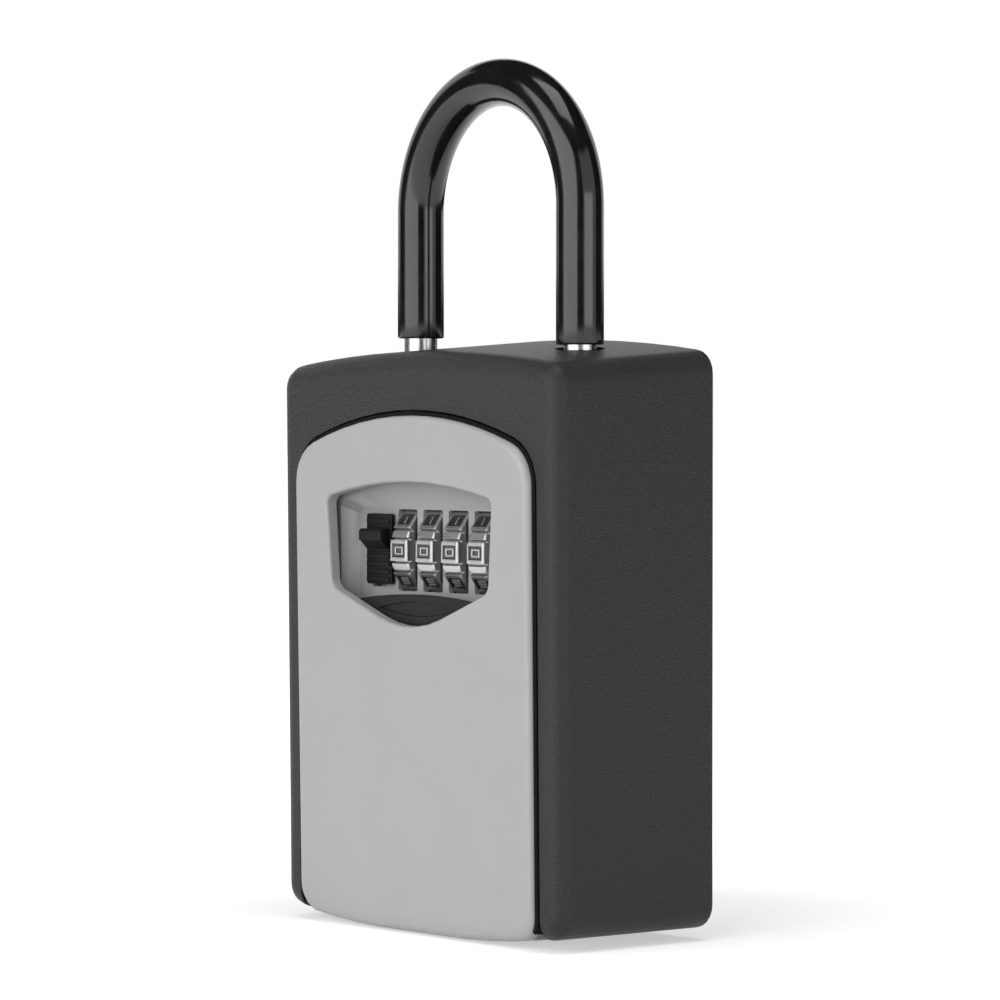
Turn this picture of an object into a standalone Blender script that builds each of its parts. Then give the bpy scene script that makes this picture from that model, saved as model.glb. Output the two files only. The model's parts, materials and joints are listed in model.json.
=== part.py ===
"""Portable key lock box: a cast case with a drop-down dial door and a sleeved shackle.

Metres, +Z up. The door faces -Y, X runs along the width and Z = 0 is the foot of the case.
Shapes are drawn as (x, depth, height), with depth measured from the case front into the case,
and are moved so that the origin lies under the middle of the whole box.
"""

import math

import bmesh
import bpy
from mathutils import Matrix, Vector

MM = 0.001

# Clearances
GAP = 0.3 * MM
RUN_GAP = 0.4 * MM
OVERLAP = 0.5 * MM
CUT_PAST = 3 * MM

# Case casting
CASE_WIDTH = 92 * MM
CASE_DEPTH = 42.2 * MM
CASE_SIDE_HEIGHT = 116.8 * MM
TOP_RISE = 3 * MM
TOP_SLOPE = 3 * MM
BOTTOM_RISE = 3 * MM
FOOT_WIDTH = 22 * MM
CASE_CORNER_RADIUS = 5 * MM
CASE_EDGE_RADIUS = 3.8 * MM
CASE_BACK_RADIUS = 1 * MM
CASE_LEAN = 1.2 * MM
BACK_WALL = 3 * MM
FLOOR_WALL = 4.5 * MM
SEAT_DEPTH = 3.2 * MM
SEAT_LEDGE = 3 * MM
RECESS_FLARE = 3 * MM
KEEPER_WIDTH = 7 * MM
KEEPER_THICKNESS = 1.9 * MM

# Door panel
DOOR_WIDTH = 77.6 * MM
DOOR_TOP_HEIGHT = 106.8 * MM
DOOR_ARCH_RADIUS = 100 * MM
DOOR_SHOULDER_RADIUS = 9 * MM
DOOR_PROUD = 1.8 * MM
DOOR_LEAN = 1.8 * MM
DOOR_SKIN = 3 * MM
DOOR_RIM = 2.2 * MM
DOOR_EDGE_RADIUS = 1.5 * MM
DOOR_TOE_RADIUS = 4 * MM
DOOR_FOOT_CORNER = 4 * MM
DOOR_SIDE_GAP = 1.2 * MM
DOOR_LIP_THICKNESS = 2.8 * MM
DOOR_LIP_BACK = 16.5 * MM
POCKET_HEIGHT = 17 * MM

# Door hinge
HINGE_DEPTH = 5 * MM
HINGE_HEIGHT = 10 * MM
HINGE_PIN_RADIUS = 1.5 * MM
HINGE_PIN_BITE = 2.4 * MM
LUG_RADIUS = 3.4 * MM
LUG_WIDTH = 4.8 * MM

# Dial window in the door
WINDOW_WIDTH = 55 * MM
WINDOW_WAIST = 52 * MM
WINDOW_TOP_HEIGHT = 93.1 * MM
WINDOW_ARCH_RISE = 3.3 * MM
WINDOW_WAIST_HEIGHT = 71 * MM
WINDOW_POINT_HEIGHT = 61.6 * MM
WINDOW_POINT_RADIUS = 30 * MM
WINDOW_LIP_RADIUS = 0.8 * MM
WINDOW_HEAD_CORNER = 2 * MM
WINDOW_WAIST_CORNER = 3 * MM

# Dial tray behind the window
TRAY_WALL = 1.2 * MM
TRAY_DEPTH = 4.2 * MM
TRAY_WIDTH = 70.4 * MM
TRAY_FOOT_HEIGHT = 36 * MM
TRAY_HEAD_HEIGHT = 96.8 * MM
TRAY_RIM_MARGIN = 0.3 * MM
TRAY_SIDE_SLOPE = 1.3 * MM
TRAY_STEP = 2 * MM
TRAY_STEP_WIDTH = 6.3 * MM
TRAY_BASIN_HEIGHT = 63.2 * MM
TRAY_CORNER = 3 * MM
BOSS_RADIUS = 1.9 * MM
TRAY_STEP_CORNER = 1.5 * MM
TRAY_RIM_CORNER = 2.5 * MM
TRAY_FOOT_CORNER = 2 * MM
TRAY_SCREW_FOOT_ROOM = 3 * MM
TRAY_SCREW_HEAD_ROOM = 4.3 * MM

# Dials
DIAL_COUNT = 4
DIAL_PITCH = 8.5 * MM
DIAL_WIDTH = 5.7 * MM
DIAL_RADIUS = 11.4 * MM
DIAL_PROTRUSION = 2.9 * MM
DIAL_GROUP_X = 2.4 * MM
DIAL_HEIGHT = 78.8 * MM
DIAL_SLOT_LENGTH = 17 * MM
DIAL_SLOT_CORNER = 0.5 * MM
DIAL_DIGITS = 10
PAD_HALF_ANGLE = 11.2
RIDGE_HALF_ANGLE = 3.6
GROOVE_DEPTH = 1.1 * MM
RIDGE_DROP = 0.25 * MM
SPINDLE_RADIUS = 2 * MM
CLIP_THICKNESS = 0.7 * MM
CLIP_WIDTH = 1.4 * MM
CAM_SLEEVE_WALL = 2.2 * MM
CAM_FLANGE_RADIUS = 5 * MM
CAM_FLANGE_THICKNESS = 1.1 * MM
CAM_GATE_WIDTH = 1.6 * MM
DETENT_RISE = 2 * MM
DETENT_LEAF = 0.6 * MM
DETENT_REACH = 2.4 * MM

# Latch
LATCH_X = -18.65 * MM
LATCH_WIDTH = 8.5 * MM
LATCH_RISE = 7.5 * MM
LATCH_LENGTH = 14.7 * MM
LATCH_PLATE = 0.9 * MM
LATCH_CORNER = 0.6 * MM
LATCH_TRAVEL = 5 * MM
LATCH_RIB = 0.45 * MM
LATCH_RIB_PITCH = 1.6 * MM
LATCH_RIB_START = 1 * MM
KNOB_DROP = 3.1 * MM
KNOB_HEIGHT = 3.4 * MM
KNOB_EDGE = 0.5 * MM
STEM_WIDTH = 3.4 * MM
STEM_HEIGHT = 5 * MM
BOLT_PLATE = 1.2 * MM
BOLT_LEAF_WIDTH = 8.2 * MM
BOLT_NOSE_WIDTH = 4 * MM
BOLT_NOSE_HEIGHT = 99.1 * MM
FENCE_HEIGHT = 6 * MM
FENCE_TOOTH = 1.4 * MM
LATCH_SPRING_RADIUS = 2 * MM

# Mechanism housing
HOUSING_WALL = 1.5 * MM
HOUSING_TOP_ROOM = 1 * MM
HOUSING_CHAMFER = 6 * MM
POST_SIZE = 4 * MM
POST_LENGTH = 2.4 * MM
COVER_PLATE = 1.2 * MM
COVER_CORNER = 1.5 * MM
EAR_SIZE = 3.6 * MM
RESET_ARM_LENGTH = 13 * MM
RESET_ARM_WIDTH = 4.4 * MM
RESET_ARM_THICKNESS = 1.2 * MM
RESET_X = 2 * MM
RESET_DROP = 8.8 * MM

# Shutter
SHUTTER_WIDTH = 59.4 * MM
SHUTTER_THICKNESS = 1 * MM
SHUTTER_TOP_HEIGHT = 70 * MM
SHUTTER_ARCH_RADIUS = 150 * MM
SHUTTER_FOOT_HEIGHT = 38 * MM
GRIP_LENGTH = 25 * MM
GRIP_HEIGHT = 3 * MM
GRIP_DEPTH = 0.4 * MM
RAIL_WIDTH = 0.9 * MM

# Small screws
SCREW_RADIUS = 0.9 * MM
SCREW_HEAD_RADIUS = 1.8 * MM
SCREW_HEAD_HEIGHT = 1.1 * MM
SCREW_DRIVE_WIDTH = 0.6 * MM
SCREW_DRIVE_DEPTH = 0.5 * MM

# Shackle
OVERALL_HEIGHT = 181 * MM
SHACKLE_SPAN = 52.7 * MM
SHACKLE_DEPTH = 22.9 * MM
SHACKLE_RADIUS = 3.5 * MM
SLEEVE_RADIUS = 4.9 * MM
SLEEVE_LEFT_END = 123.2 * MM
SLEEVE_RIGHT_END = 121.2 * MM
SHORT_LEG_LIFT = 1.8 * MM
LONG_LEG_END = 72.5 * MM
LEG_TIP = 1.2 * MM
LOCK_GROOVE_RADIUS = 2.4 * MM
LOCK_GROOVE_HEIGHT = 2.4 * MM
RING_GROOVE_RADIUS = 2.6 * MM
RING_RADIUS = 5.1 * MM
RING_THICKNESS = 1 * MM
BUSH_WALL = 0.9 * MM
BUSH_LENGTH = 12 * MM
BUSH_SUNK = 0.4 * MM

# Shackle lock under the case roof
LOCK_COVER_LEFT = -33.5 * MM
LOCK_COVER_RIGHT = 16 * MM
LOCK_COVER_FRONT = 15 * MM
LOCK_COVER_BACK = 37 * MM
LOCK_COVER_DROP = 11.2 * MM
LOCK_COVER_BASE = 3 * MM
LOCK_COVER_WALL = 1.5 * MM
LOCK_BAR_THICKNESS = 1.8 * MM
LOCK_BAR_WIDTH = 7.8 * MM
LOCK_BAR_RIGHT = 2 * MM
LOCK_TRAVEL = 4 * MM
RELEASE_BUTTON_WIDTH = 5 * MM
RELEASE_BUTTON_DEPTH = 4 * MM
RELEASE_BUTTON_DROP = 6.6 * MM
RELEASE_BUTTON_CORNER = 1 * MM
RELEASE_ARM_LENGTH = 3.2 * MM
RELEASE_BUTTON_X = -3 * MM
RELEASE_SPRING_RADIUS = 1.7 * MM
COVER_SCREW_RADIUS = 1.3 * MM
COVER_SCREW_HEAD_RADIUS = 2.6 * MM
COVER_SCREW_BITE = 4 * MM
COVER_SCREW_MARGIN = 4 * MM

# Facets
ROUND_SIDES = 24
SMALL_SIDES = 16
ARC_STEPS = 5
FILLET_STEPS = 4

# Case layout
HALF_CASE = CASE_WIDTH / 2
HALF_FOOT = FOOT_WIDTH / 2
FRONT_Y = -(CASE_DEPTH - DOOR_PROUD) / 2
CAVITY_BACK = CASE_DEPTH - BACK_WALL

# Door layout
HALF_DOOR = DOOR_WIDTH / 2
HALF_RECESS = HALF_DOOR + DOOR_SIDE_GAP
CAVITY_OFFSET = DOOR_SIDE_GAP - SEAT_LEDGE
HALF_CAVITY = HALF_DOOR + CAVITY_OFFSET
SHOULDER_X = HALF_DOOR - DOOR_SHOULDER_RADIUS
ARCH_HEIGHT = DOOR_TOP_HEIGHT - DOOR_ARCH_RADIUS
SHOULDER_REACH = DOOR_ARCH_RADIUS - DOOR_SHOULDER_RADIUS
SHOULDER_HEIGHT = ARCH_HEIGHT + math.sqrt(SHOULDER_REACH**2 - SHOULDER_X**2)
DOOR_FRONT = -DOOR_PROUD
DOOR_SKIN_BACK = DOOR_FRONT + DOOR_SKIN
DOOR_RIM_BACK = SEAT_DEPTH - RUN_GAP
LUG_OUTER_X = HALF_CAVITY - 2 * RUN_GAP

# Layers from the door skin to the mechanism's back
SHUTTER_FRONT = DOOR_SKIN_BACK + GAP
SHUTTER_BACK = SHUTTER_FRONT + SHUTTER_THICKNESS
TRAY_FRONT = SHUTTER_BACK + GAP
FLANGE_BACK = TRAY_FRONT + TRAY_WALL
TRAY_FLOOR = TRAY_FRONT + TRAY_DEPTH
TRAY_BACK = TRAY_FLOOR + TRAY_WALL
DIAL_DEPTH = TRAY_FLOOR - DIAL_PROTRUSION + DIAL_RADIUS
BOLT_FRONT = TRAY_BACK + GAP
BOLT_BACK = BOLT_FRONT + BOLT_PLATE
FENCE_FRONT = DIAL_DEPTH + DIAL_RADIUS + RUN_GAP
FENCE_BACK = FENCE_FRONT + BOLT_PLATE
HOUSING_FRONT = TRAY_BACK + GAP
HOUSING_BACK = FENCE_BACK + OVERLAP
PLATE_FRONT = HOUSING_BACK + GAP
PLATE_BACK = PLATE_FRONT + COVER_PLATE

# Dial and latch layout across the width
DIAL_CENTRES = [DIAL_GROUP_X + (i - (DIAL_COUNT - 1) / 2) * DIAL_PITCH for i in range(DIAL_COUNT)]
DIAL_SPACE = DIAL_PITCH - DIAL_WIDTH
DIALS_LEFT = DIAL_CENTRES[0] - DIAL_WIDTH / 2
DIALS_RIGHT = DIAL_CENTRES[-1] + DIAL_WIDTH / 2
CAM_BORE_RADIUS = SPINDLE_RADIUS + GAP
CAM_SLEEVE_RADIUS = CAM_BORE_RADIUS + CAM_SLEEVE_WALL
DIAL_BORE_RADIUS = CAM_SLEEVE_RADIUS + GAP
WEB_RIGHT = DIALS_LEFT - DIAL_SPACE + GAP
WEB_LEFT = WEB_RIGHT - BOLT_PLATE
LEAF_LEFT = WEB_RIGHT - BOLT_LEAF_WIDTH
STEM_X = (LEAF_LEFT + WEB_LEFT) / 2 + OVERLAP
CLIP_RADIUS = SPINDLE_RADIUS + CLIP_WIDTH
HOUSING_INNER_LEFT = LEAF_LEFT - CLIP_THICKNESS - 2 * OVERLAP
HOUSING_INNER_RIGHT = DIALS_RIGHT + 3 * GAP
HOUSING_LEFT = HOUSING_INNER_LEFT - HOUSING_WALL
HOUSING_RIGHT = HOUSING_INNER_RIGHT + HOUSING_WALL

# Heights of the mechanism
TRAY_FLOOR_TOP = DIAL_HEIGHT + DIAL_SLOT_LENGTH / 2 + GAP
LATCH_HIGH = DIAL_HEIGHT + LATCH_RISE
LATCH_LOW = LATCH_HIGH - LATCH_LENGTH
KNOB_HIGH = LATCH_HIGH - KNOB_DROP
KNOB_LOW = KNOB_HIGH - KNOB_HEIGHT
STEM_LOW = (LATCH_LOW + LATCH_HIGH) / 2 - STEM_HEIGHT / 2
RESET_HEIGHT = DIAL_HEIGHT - RESET_DROP
DETENT_TOP = DIAL_HEIGHT - DIAL_RADIUS - RUN_GAP
DETENT_LOW = DETENT_TOP - DETENT_RISE
HOUSING_INNER_LOW = DETENT_LOW - GAP
HOUSING_INNER_HIGH = DIAL_HEIGHT + DIAL_RADIUS + HOUSING_TOP_ROOM
HOUSING_LOW = HOUSING_INNER_LOW - HOUSING_WALL
HOUSING_HIGH = HOUSING_INNER_HIGH + HOUSING_WALL
HOUSING_BACK_HIGH = HOUSING_HIGH - HOUSING_CHAMFER
LEAF_LOW = HOUSING_INNER_LOW + LATCH_TRAVEL + 2 * OVERLAP
LEAF_HIGH = HOUSING_INNER_HIGH - OVERLAP
FENCE_LOW = HOUSING_INNER_LOW + POST_SIZE + LATCH_TRAVEL + OVERLAP
KEEPER_HEIGHT = BOLT_NOSE_HEIGHT + RUN_GAP
POST_HEIGHTS = (HOUSING_INNER_LOW + POST_SIZE / 2 - OVERLAP, HOUSING_BACK_HIGH - POST_SIZE / 2 - OVERLAP)
POST_CENTRES = (HOUSING_INNER_LEFT + POST_SIZE / 2 - OVERLAP, HOUSING_INNER_RIGHT - POST_SIZE / 2 + OVERLAP)

# Tray fixings: flange screws on door bosses, and bosses for the mechanism's ears
BOSS_X = SHUTTER_WIDTH / 2 + GAP + RAIL_WIDTH + BOSS_RADIUS + GAP
BOSS_HEIGHTS = (TRAY_FOOT_HEIGHT + TRAY_SCREW_FOOT_ROOM, TRAY_HEAD_HEIGHT - TRAY_SCREW_HEAD_ROOM)
LOW_EAR_HEIGHT = HOUSING_LOW - SCREW_HEAD_RADIUS - GAP
HIGH_EAR_HEIGHT = HOUSING_HIGH + SCREW_HEAD_RADIUS + GAP
EARS = (
    (WEB_RIGHT, LOW_EAR_HEIGHT),
    (DIALS_RIGHT - 2 * EAR_SIZE, LOW_EAR_HEIGHT),
    (DIALS_RIGHT - 2 * EAR_SIZE, HIGH_EAR_HEIGHT),
)
SCREW_HOLE_RADIUS = SCREW_RADIUS + GAP

# Shackle layout
HALF_SPAN = SHACKLE_SPAN / 2
BEND_HEIGHT = OVERALL_HEIGHT - SLEEVE_RADIUS - HALF_SPAN
LEG_HOLE_RADIUS = SHACKLE_RADIUS + RUN_GAP
BUSH_RADIUS = LEG_HOLE_RADIUS + BUSH_WALL
SLEEVE_BORE_RADIUS = SHACKLE_RADIUS + GAP
RING_HEIGHT = LONG_LEG_END + 2 * LEG_TIP
LOCK_COVER_HEIGHT = DOOR_TOP_HEIGHT - LOCK_COVER_DROP
SHORT_LEG_END = LOCK_COVER_HEIGHT + SHORT_LEG_LIFT
LOCK_GROOVE_LOW = SHORT_LEG_END + LEG_TIP
LOCK_BAR_LOW = LOCK_COVER_HEIGHT + LOCK_COVER_BASE + GAP
LOCK_BAR_HIGH = LOCK_BAR_LOW + LOCK_BAR_THICKNESS
LOCK_BAR_LEFT = -HALF_SPAN + SHACKLE_RADIUS + RUN_GAP
BUTTON_FRONT = SHACKLE_DEPTH + LOCK_BAR_WIDTH / 2 + RELEASE_ARM_LENGTH
BUTTON_BACK = BUTTON_FRONT + RELEASE_BUTTON_DEPTH
COVER_SCREW_DEPTH = LOCK_COVER_BACK - COVER_SCREW_MARGIN
COVER_SCREW_PLACES = (LOCK_COVER_RIGHT - COVER_SCREW_MARGIN, RELEASE_BUTTON_X - 2 * RELEASE_BUTTON_WIDTH)

# Finishes: colour, roughness and metallic value
FINISHES = {
    "case_paint": ((0.055, 0.055, 0.057, 1), 0.62, 0.0),
    "door_paint": ((0.47, 0.47, 0.47, 1), 0.42, 0.1),
    "bright_steel": ((0.78, 0.78, 0.78, 1), 0.16, 1.0),
    "dial_chrome": ((0.7, 0.7, 0.7, 1), 0.25, 1.0),
    "gloss_vinyl": ((0.008, 0.008, 0.008, 1), 0.12, 0.0),
    "black_plastic": ((0.012, 0.012, 0.012, 1), 0.45, 0.0),
    "shutter_plastic": ((0.04, 0.04, 0.041, 1), 0.5, 0.0),
    "zinc": ((0.42, 0.42, 0.43, 1), 0.4, 0.9),
    "brass": ((0.62, 0.46, 0.2, 1), 0.3, 1.0),
}

# Joint points of the bodies that move, with the body that carries each
DOOR_PIVOT = Vector((0, HINGE_DEPTH, HINGE_HEIGHT))
BODIES = {
    "case": (None, Vector((0, 0, 0))),
    "door": ("case", DOOR_PIVOT),
    "shackle": ("case", Vector((HALF_SPAN, SHACKLE_DEPTH, BEND_HEIGHT))),
    "release": ("case", Vector((RELEASE_BUTTON_X, BUTTON_FRONT, LOCK_BAR_LOW))),
    "shutter": ("door", Vector((0, SHUTTER_FRONT, SHUTTER_FOOT_HEIGHT))),
    "latch": ("door", Vector((STEM_X, BOLT_FRONT, STEM_LOW))),
    "reset": ("door", Vector((RESET_X, PLATE_BACK, RESET_HEIGHT))),
}
for dial_index, dial_centre in enumerate(DIAL_CENTRES, start=1):
    BODIES[f"dial_{dial_index}"] = ("door", Vector((dial_centre, DIAL_DEPTH, DIAL_HEIGHT)))


def clear_scene():
    for old in list(bpy.data.objects):
        bpy.data.objects.remove(old)


# Outlines

def rounded(corners, steps=ARC_STEPS):
    """Closed outline of (a, b, radius) corners, with an arc at each corner that has a radius."""
    points = []
    for index, (a, b, radius) in enumerate(corners):
        corner = Vector((a, b))
        if radius == 0:
            points.append(corner)
            continue
        before = (Vector(corners[index - 1][:2]) - corner).normalized()
        after = (Vector(corners[(index + 1) % len(corners)][:2]) - corner).normalized()
        half_angle = before.angle(after) / 2
        centre = corner + (before + after).normalized() * (radius / math.sin(half_angle))
        first = corner + before * (radius / math.tan(half_angle)) - centre
        last = corner + after * (radius / math.tan(half_angle)) - centre
        turn = first.angle_signed(last)
        for step in range(steps + 1):
            points.append(centre + Matrix.Rotation(-turn * step / steps, 2) @ first)
    return points


def rectangle(low_a, low_b, high_a, high_b, radius=0.0):
    return rounded([(low_a, low_b, radius), (high_a, low_b, radius),
                    (high_a, high_b, radius), (low_a, high_b, radius)])


def circle(radius, sides):
    return [Vector((radius * math.cos(math.tau * i / sides), radius * math.sin(math.tau * i / sides)))
            for i in range(sides)]


def foot_curve(x):
    """Height of the case's underside: flat in the middle, rising to both sides."""
    beyond = max(0.0, abs(x) - HALF_FOOT) / (HALF_CASE - HALF_FOOT)
    return BOTTOM_RISE * beyond**2


def case_outline(inset, depth):
    """Front-view outline of the case at one depth, drawn in by inset."""
    half = HALF_CASE - inset
    radius = max(CASE_CORNER_RADIUS - inset, OVERLAP)
    roof = CASE_SIDE_HEIGHT + TOP_SLOPE * depth / CASE_DEPTH - inset

    def roof_height(x):
        return roof + TOP_RISE * (1 - (x / HALF_CASE) ** 2)

    reach = 0.76 * half
    spread = [reach * (1 - step / 4) for step in range(9)]
    foot = [HALF_FOOT + (reach - HALF_FOOT) * step / 3 for step in range(4)]
    corners = [(x, foot_curve(x) + inset, 0) for x in [-x for x in reversed(foot)] + foot]
    corners.append((half, foot_curve(half) + inset, radius))
    corners.append((half, roof_height(half), radius))
    corners += [(x, roof_height(x), 0) for x in spread]
    corners.append((-half, roof_height(half), radius))
    corners.append((-half, foot_curve(half) + inset, radius))
    return rounded(corners)


def arch_outline(offset, foot):
    """Door-shaped outline grown by offset: two sides, round shoulders and an arched head.

    foot is the list of points along the bottom, from left to right.
    """
    points = list(foot)
    shoulder_angle = math.atan2(SHOULDER_HEIGHT - ARCH_HEIGHT, SHOULDER_X)
    shoulder = DOOR_SHOULDER_RADIUS + offset
    head = DOOR_ARCH_RADIUS + offset
    right = []
    for step in range(ARC_STEPS + 1):
        angle = shoulder_angle * step / ARC_STEPS
        right.append(Vector((SHOULDER_X + shoulder * math.cos(angle),
                             SHOULDER_HEIGHT + shoulder * math.sin(angle))))
    points += right
    head_steps = 12
    for step in range(1, head_steps):
        angle = shoulder_angle + (math.pi - 2 * shoulder_angle) * step / head_steps
        points.append(Vector((head * math.cos(angle), ARCH_HEIGHT + head * math.sin(angle))))
    points += [Vector((-point.x, point.y)) for point in reversed(right)]
    return points


def arch_top(x, offset):
    """Height of the door-shaped outline's head above x."""
    reach = abs(x)
    if reach <= SHOULDER_X * (DOOR_ARCH_RADIUS + offset) / SHOULDER_REACH:
        return ARCH_HEIGHT + math.sqrt((DOOR_ARCH_RADIUS + offset) ** 2 - reach**2)
    shoulder = DOOR_SHOULDER_RADIUS + offset
    return SHOULDER_HEIGHT + math.sqrt(shoulder**2 - (reach - SHOULDER_X) ** 2)


def flat_foot(offset, height):
    half = HALF_DOOR + offset
    return [Vector((-half, height)), Vector((half, height))]


def flared_foot(offset, height, flare):
    """Straight foot that widens by a round flare of the case's bottom corners beside the door."""
    half = HALF_DOOR + offset
    low = foot_curve(half + flare) - OVERLAP
    right = [Vector((half + flare, height))]
    for step in range(ARC_STEPS + 1):
        angle = math.pi / 2 * step / ARC_STEPS
        right.append(Vector((half + flare * (1 - math.sin(angle)), low + flare * (1 - math.cos(angle)))))
    return [Vector((-point.x, point.y)) for point in reversed(right)] + right


def curved_foot(half, lift, corner=0.0):
    """Points along a foot from left to right, with its two ends rounded by corner."""
    steps = 10
    flat = half - corner
    spread = [flat * (2 * step / steps - 1) for step in range(steps + 1)]
    points = [Vector((x, foot_curve(x) + lift)) for x in spread]
    if corner > 0:
        for step in range(1, ARC_STEPS + 1):
            angle = math.pi / 2 * step / ARC_STEPS
            x = flat + corner * math.sin(angle)
            height = foot_curve(x) + lift + corner * (1 - math.cos(angle))
            points.append(Vector((x, height)))
            points.insert(0, Vector((-x, height)))
    return points


def window_outline(grow):
    """Shield-shaped window: arched head, sides drawn in to a waist, and a rounded point below."""
    half = WINDOW_WIDTH / 2 + grow
    side = WINDOW_TOP_HEIGHT - WINDOW_ARCH_RISE + grow
    arch = ((WINDOW_WIDTH / 2) ** 2 + WINDOW_ARCH_RISE**2) / (2 * WINDOW_ARCH_RISE)

    def head(x):
        return WINDOW_TOP_HEIGHT + grow - arch + math.sqrt(arch**2 - x**2)

    corners = [(-half, side, WINDOW_HEAD_CORNER)]
    corners += [(half * step / 4, head(half * step / 4), 0) for step in range(-3, 4)]
    corners += [(half, side, WINDOW_HEAD_CORNER),
                (WINDOW_WAIST / 2 + grow, WINDOW_WAIST_HEIGHT, WINDOW_WAIST_CORNER),
                (0, WINDOW_POINT_HEIGHT - grow, WINDOW_POINT_RADIUS),
                (-WINDOW_WAIST / 2 - grow, WINDOW_WAIST_HEIGHT, WINDOW_WAIST_CORNER)]
    return rounded(corners)


# Solids

def make_object(name, mesh):
    bmesh.ops.connect_verts_nonplanar(mesh, angle_limit=math.radians(0.01), faces=mesh.faces)
    bmesh.ops.recalc_face_normals(mesh, faces=mesh.faces)
    data = bpy.data.meshes.new(name)
    mesh.to_mesh(data)
    mesh.free()
    made = bpy.data.objects.new(name, data)
    bpy.context.scene.collection.objects.link(made)
    return made


def skin(name, loops, closed=False):
    """Solid skinned over loops of equally many points; open runs of loops are capped."""
    mesh = bmesh.new()
    rings = [[mesh.verts.new(point) for point in loop] for loop in loops]
    pairs = list(zip(rings, rings[1:] + rings[:1])) if closed else list(zip(rings, rings[1:]))
    for near, far in pairs:
        for i in range(len(near)):
            j = (i + 1) % len(near)
            mesh.faces.new((near[i], near[j], far[j], far[i]))
    if not closed:
        mesh.faces.new(rings[0])
        mesh.faces.new(rings[-1])
    return make_object(name, mesh)


def spot(axis, along, pair):
    """Point with one coordinate along an axis and the pair on the two others, in x, y, z order."""
    values = list(pair)
    values.insert("xyz".index(axis), along)
    return Vector(values)


def prism(name, axis, outline, low, high):
    return skin(name, [[spot(axis, along, pair) for pair in outline] for along in (low, high)])


def block(name, low, high):
    return prism(name, "z", rectangle(low[0], low[1], high[0], high[1]), low[2], high[2])


def turned(name, axis, centre, stations, sides=SMALL_SIDES, closed=False):
    """Round solid about an axis through centre (a pair), from (along, radius) stations."""
    base = Vector(centre)
    loops = []
    for along, radius in stations:
        loops.append([spot(axis, along, base + point) for point in circle(radius, sides)])
    return skin(name, loops, closed)


def drill(axis, centre, radius, low, high, sides=SMALL_SIDES):
    """Cutter for a round hole whose flats lie at the stated radius."""
    reach = radius / math.cos(math.pi / sides)
    return turned("drill", axis, centre, [(low, reach), (high, reach)], sides)


def ring(name, axis, centre, inner, outer, low, high, sides=SMALL_SIDES):
    stations = [(low, inner), (low, outer), (high, outer), (high, inner)]
    return turned(name, axis, centre, stations, sides, closed=True)


def combine(body, tool, operation):
    modifier = body.modifiers.new("shape", "BOOLEAN")
    modifier.operation = operation
    modifier.solver = "EXACT"
    modifier.object = tool
    graph = bpy.context.evaluated_depsgraph_get()
    shaped = bpy.data.meshes.new_from_object(body.evaluated_get(graph))
    body.modifiers.remove(modifier)
    body.data = shaped
    bpy.data.objects.remove(tool)


def cut(body, *tools):
    for tool in tools:
        combine(body, tool, "DIFFERENCE")


def add(body, *tools):
    for tool in tools:
        combine(body, tool, "UNION")


# Assembly

def make_pivots():
    """One empty on each body's joint axis, parented along the chain of bodies."""
    pivots = {}
    for name, (carrier, place) in BODIES.items():
        pivot = bpy.data.objects.new(f"{name}_pivot", None)
        bpy.context.scene.collection.objects.link(pivot)
        pivot.location = place + Vector((0, FRONT_Y, 0))
        if carrier:
            pivot.parent = pivots[carrier]
            pivot.location = place - BODIES[carrier][1]
        pivots[name] = pivot
    return pivots


def finish(made, pivots, body, finish_name):
    """Gives a piece its material and smooth shading, and hangs it on its body's pivot."""
    colour, roughness, metallic = FINISHES[finish_name]
    material = bpy.data.materials.new(made.name)
    material.use_nodes = True
    shader = material.node_tree.nodes["Principled BSDF"]
    shader.inputs["Base Color"].default_value = colour
    shader.inputs["Roughness"].default_value = roughness
    shader.inputs["Metallic"].default_value = metallic
    made.data.materials.clear()
    made.data.materials.append(material)
    made.data.transform(Matrix.Translation(-BODIES[body][1]))
    made.data.shade_smooth()
    made.data.set_sharp_from_angle(angle=math.radians(32))
    made.parent = pivots[body]


# Case

def case_top(x, depth):
    return CASE_SIDE_HEIGHT + TOP_RISE * (1 - (x / HALF_CASE) ** 2) + TOP_SLOPE * depth / CASE_DEPTH


def toe_sweep():
    """Radius about the hinge that the rounded toe of the door stays inside."""
    toe_depth = DOOR_FRONT + DOOR_TOE_RADIUS
    toe_height = RUN_GAP + DOOR_TOE_RADIUS
    toe = math.hypot(HINGE_DEPTH - toe_depth, HINGE_HEIGHT - toe_height) + DOOR_TOE_RADIUS
    return toe + RUN_GAP


def lip_sweep():
    """Radius about the hinge that the back of the door's bottom lip stays inside."""
    return math.hypot(DOOR_LIP_BACK - HINGE_DEPTH, HINGE_HEIGHT - RUN_GAP) + RUN_GAP


def fillet(radius):
    """(depth, inset) stations of a round edge, from the flat face to the side."""
    angles = [math.pi / 2 * step / FILLET_STEPS for step in range(FILLET_STEPS + 1)]
    return [(radius * (1 - math.cos(angle)), radius * (1 - math.sin(angle))) for angle in angles]


def case_spot(depth, pair):
    """Point of the case's skin: the front leans back towards the foot, and the back is upright."""
    lean = CASE_LEAN * (1 - pair.y / CASE_SIDE_HEIGHT) * (1 - depth / CASE_DEPTH)
    return spot("y", depth + lean, pair)


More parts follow.
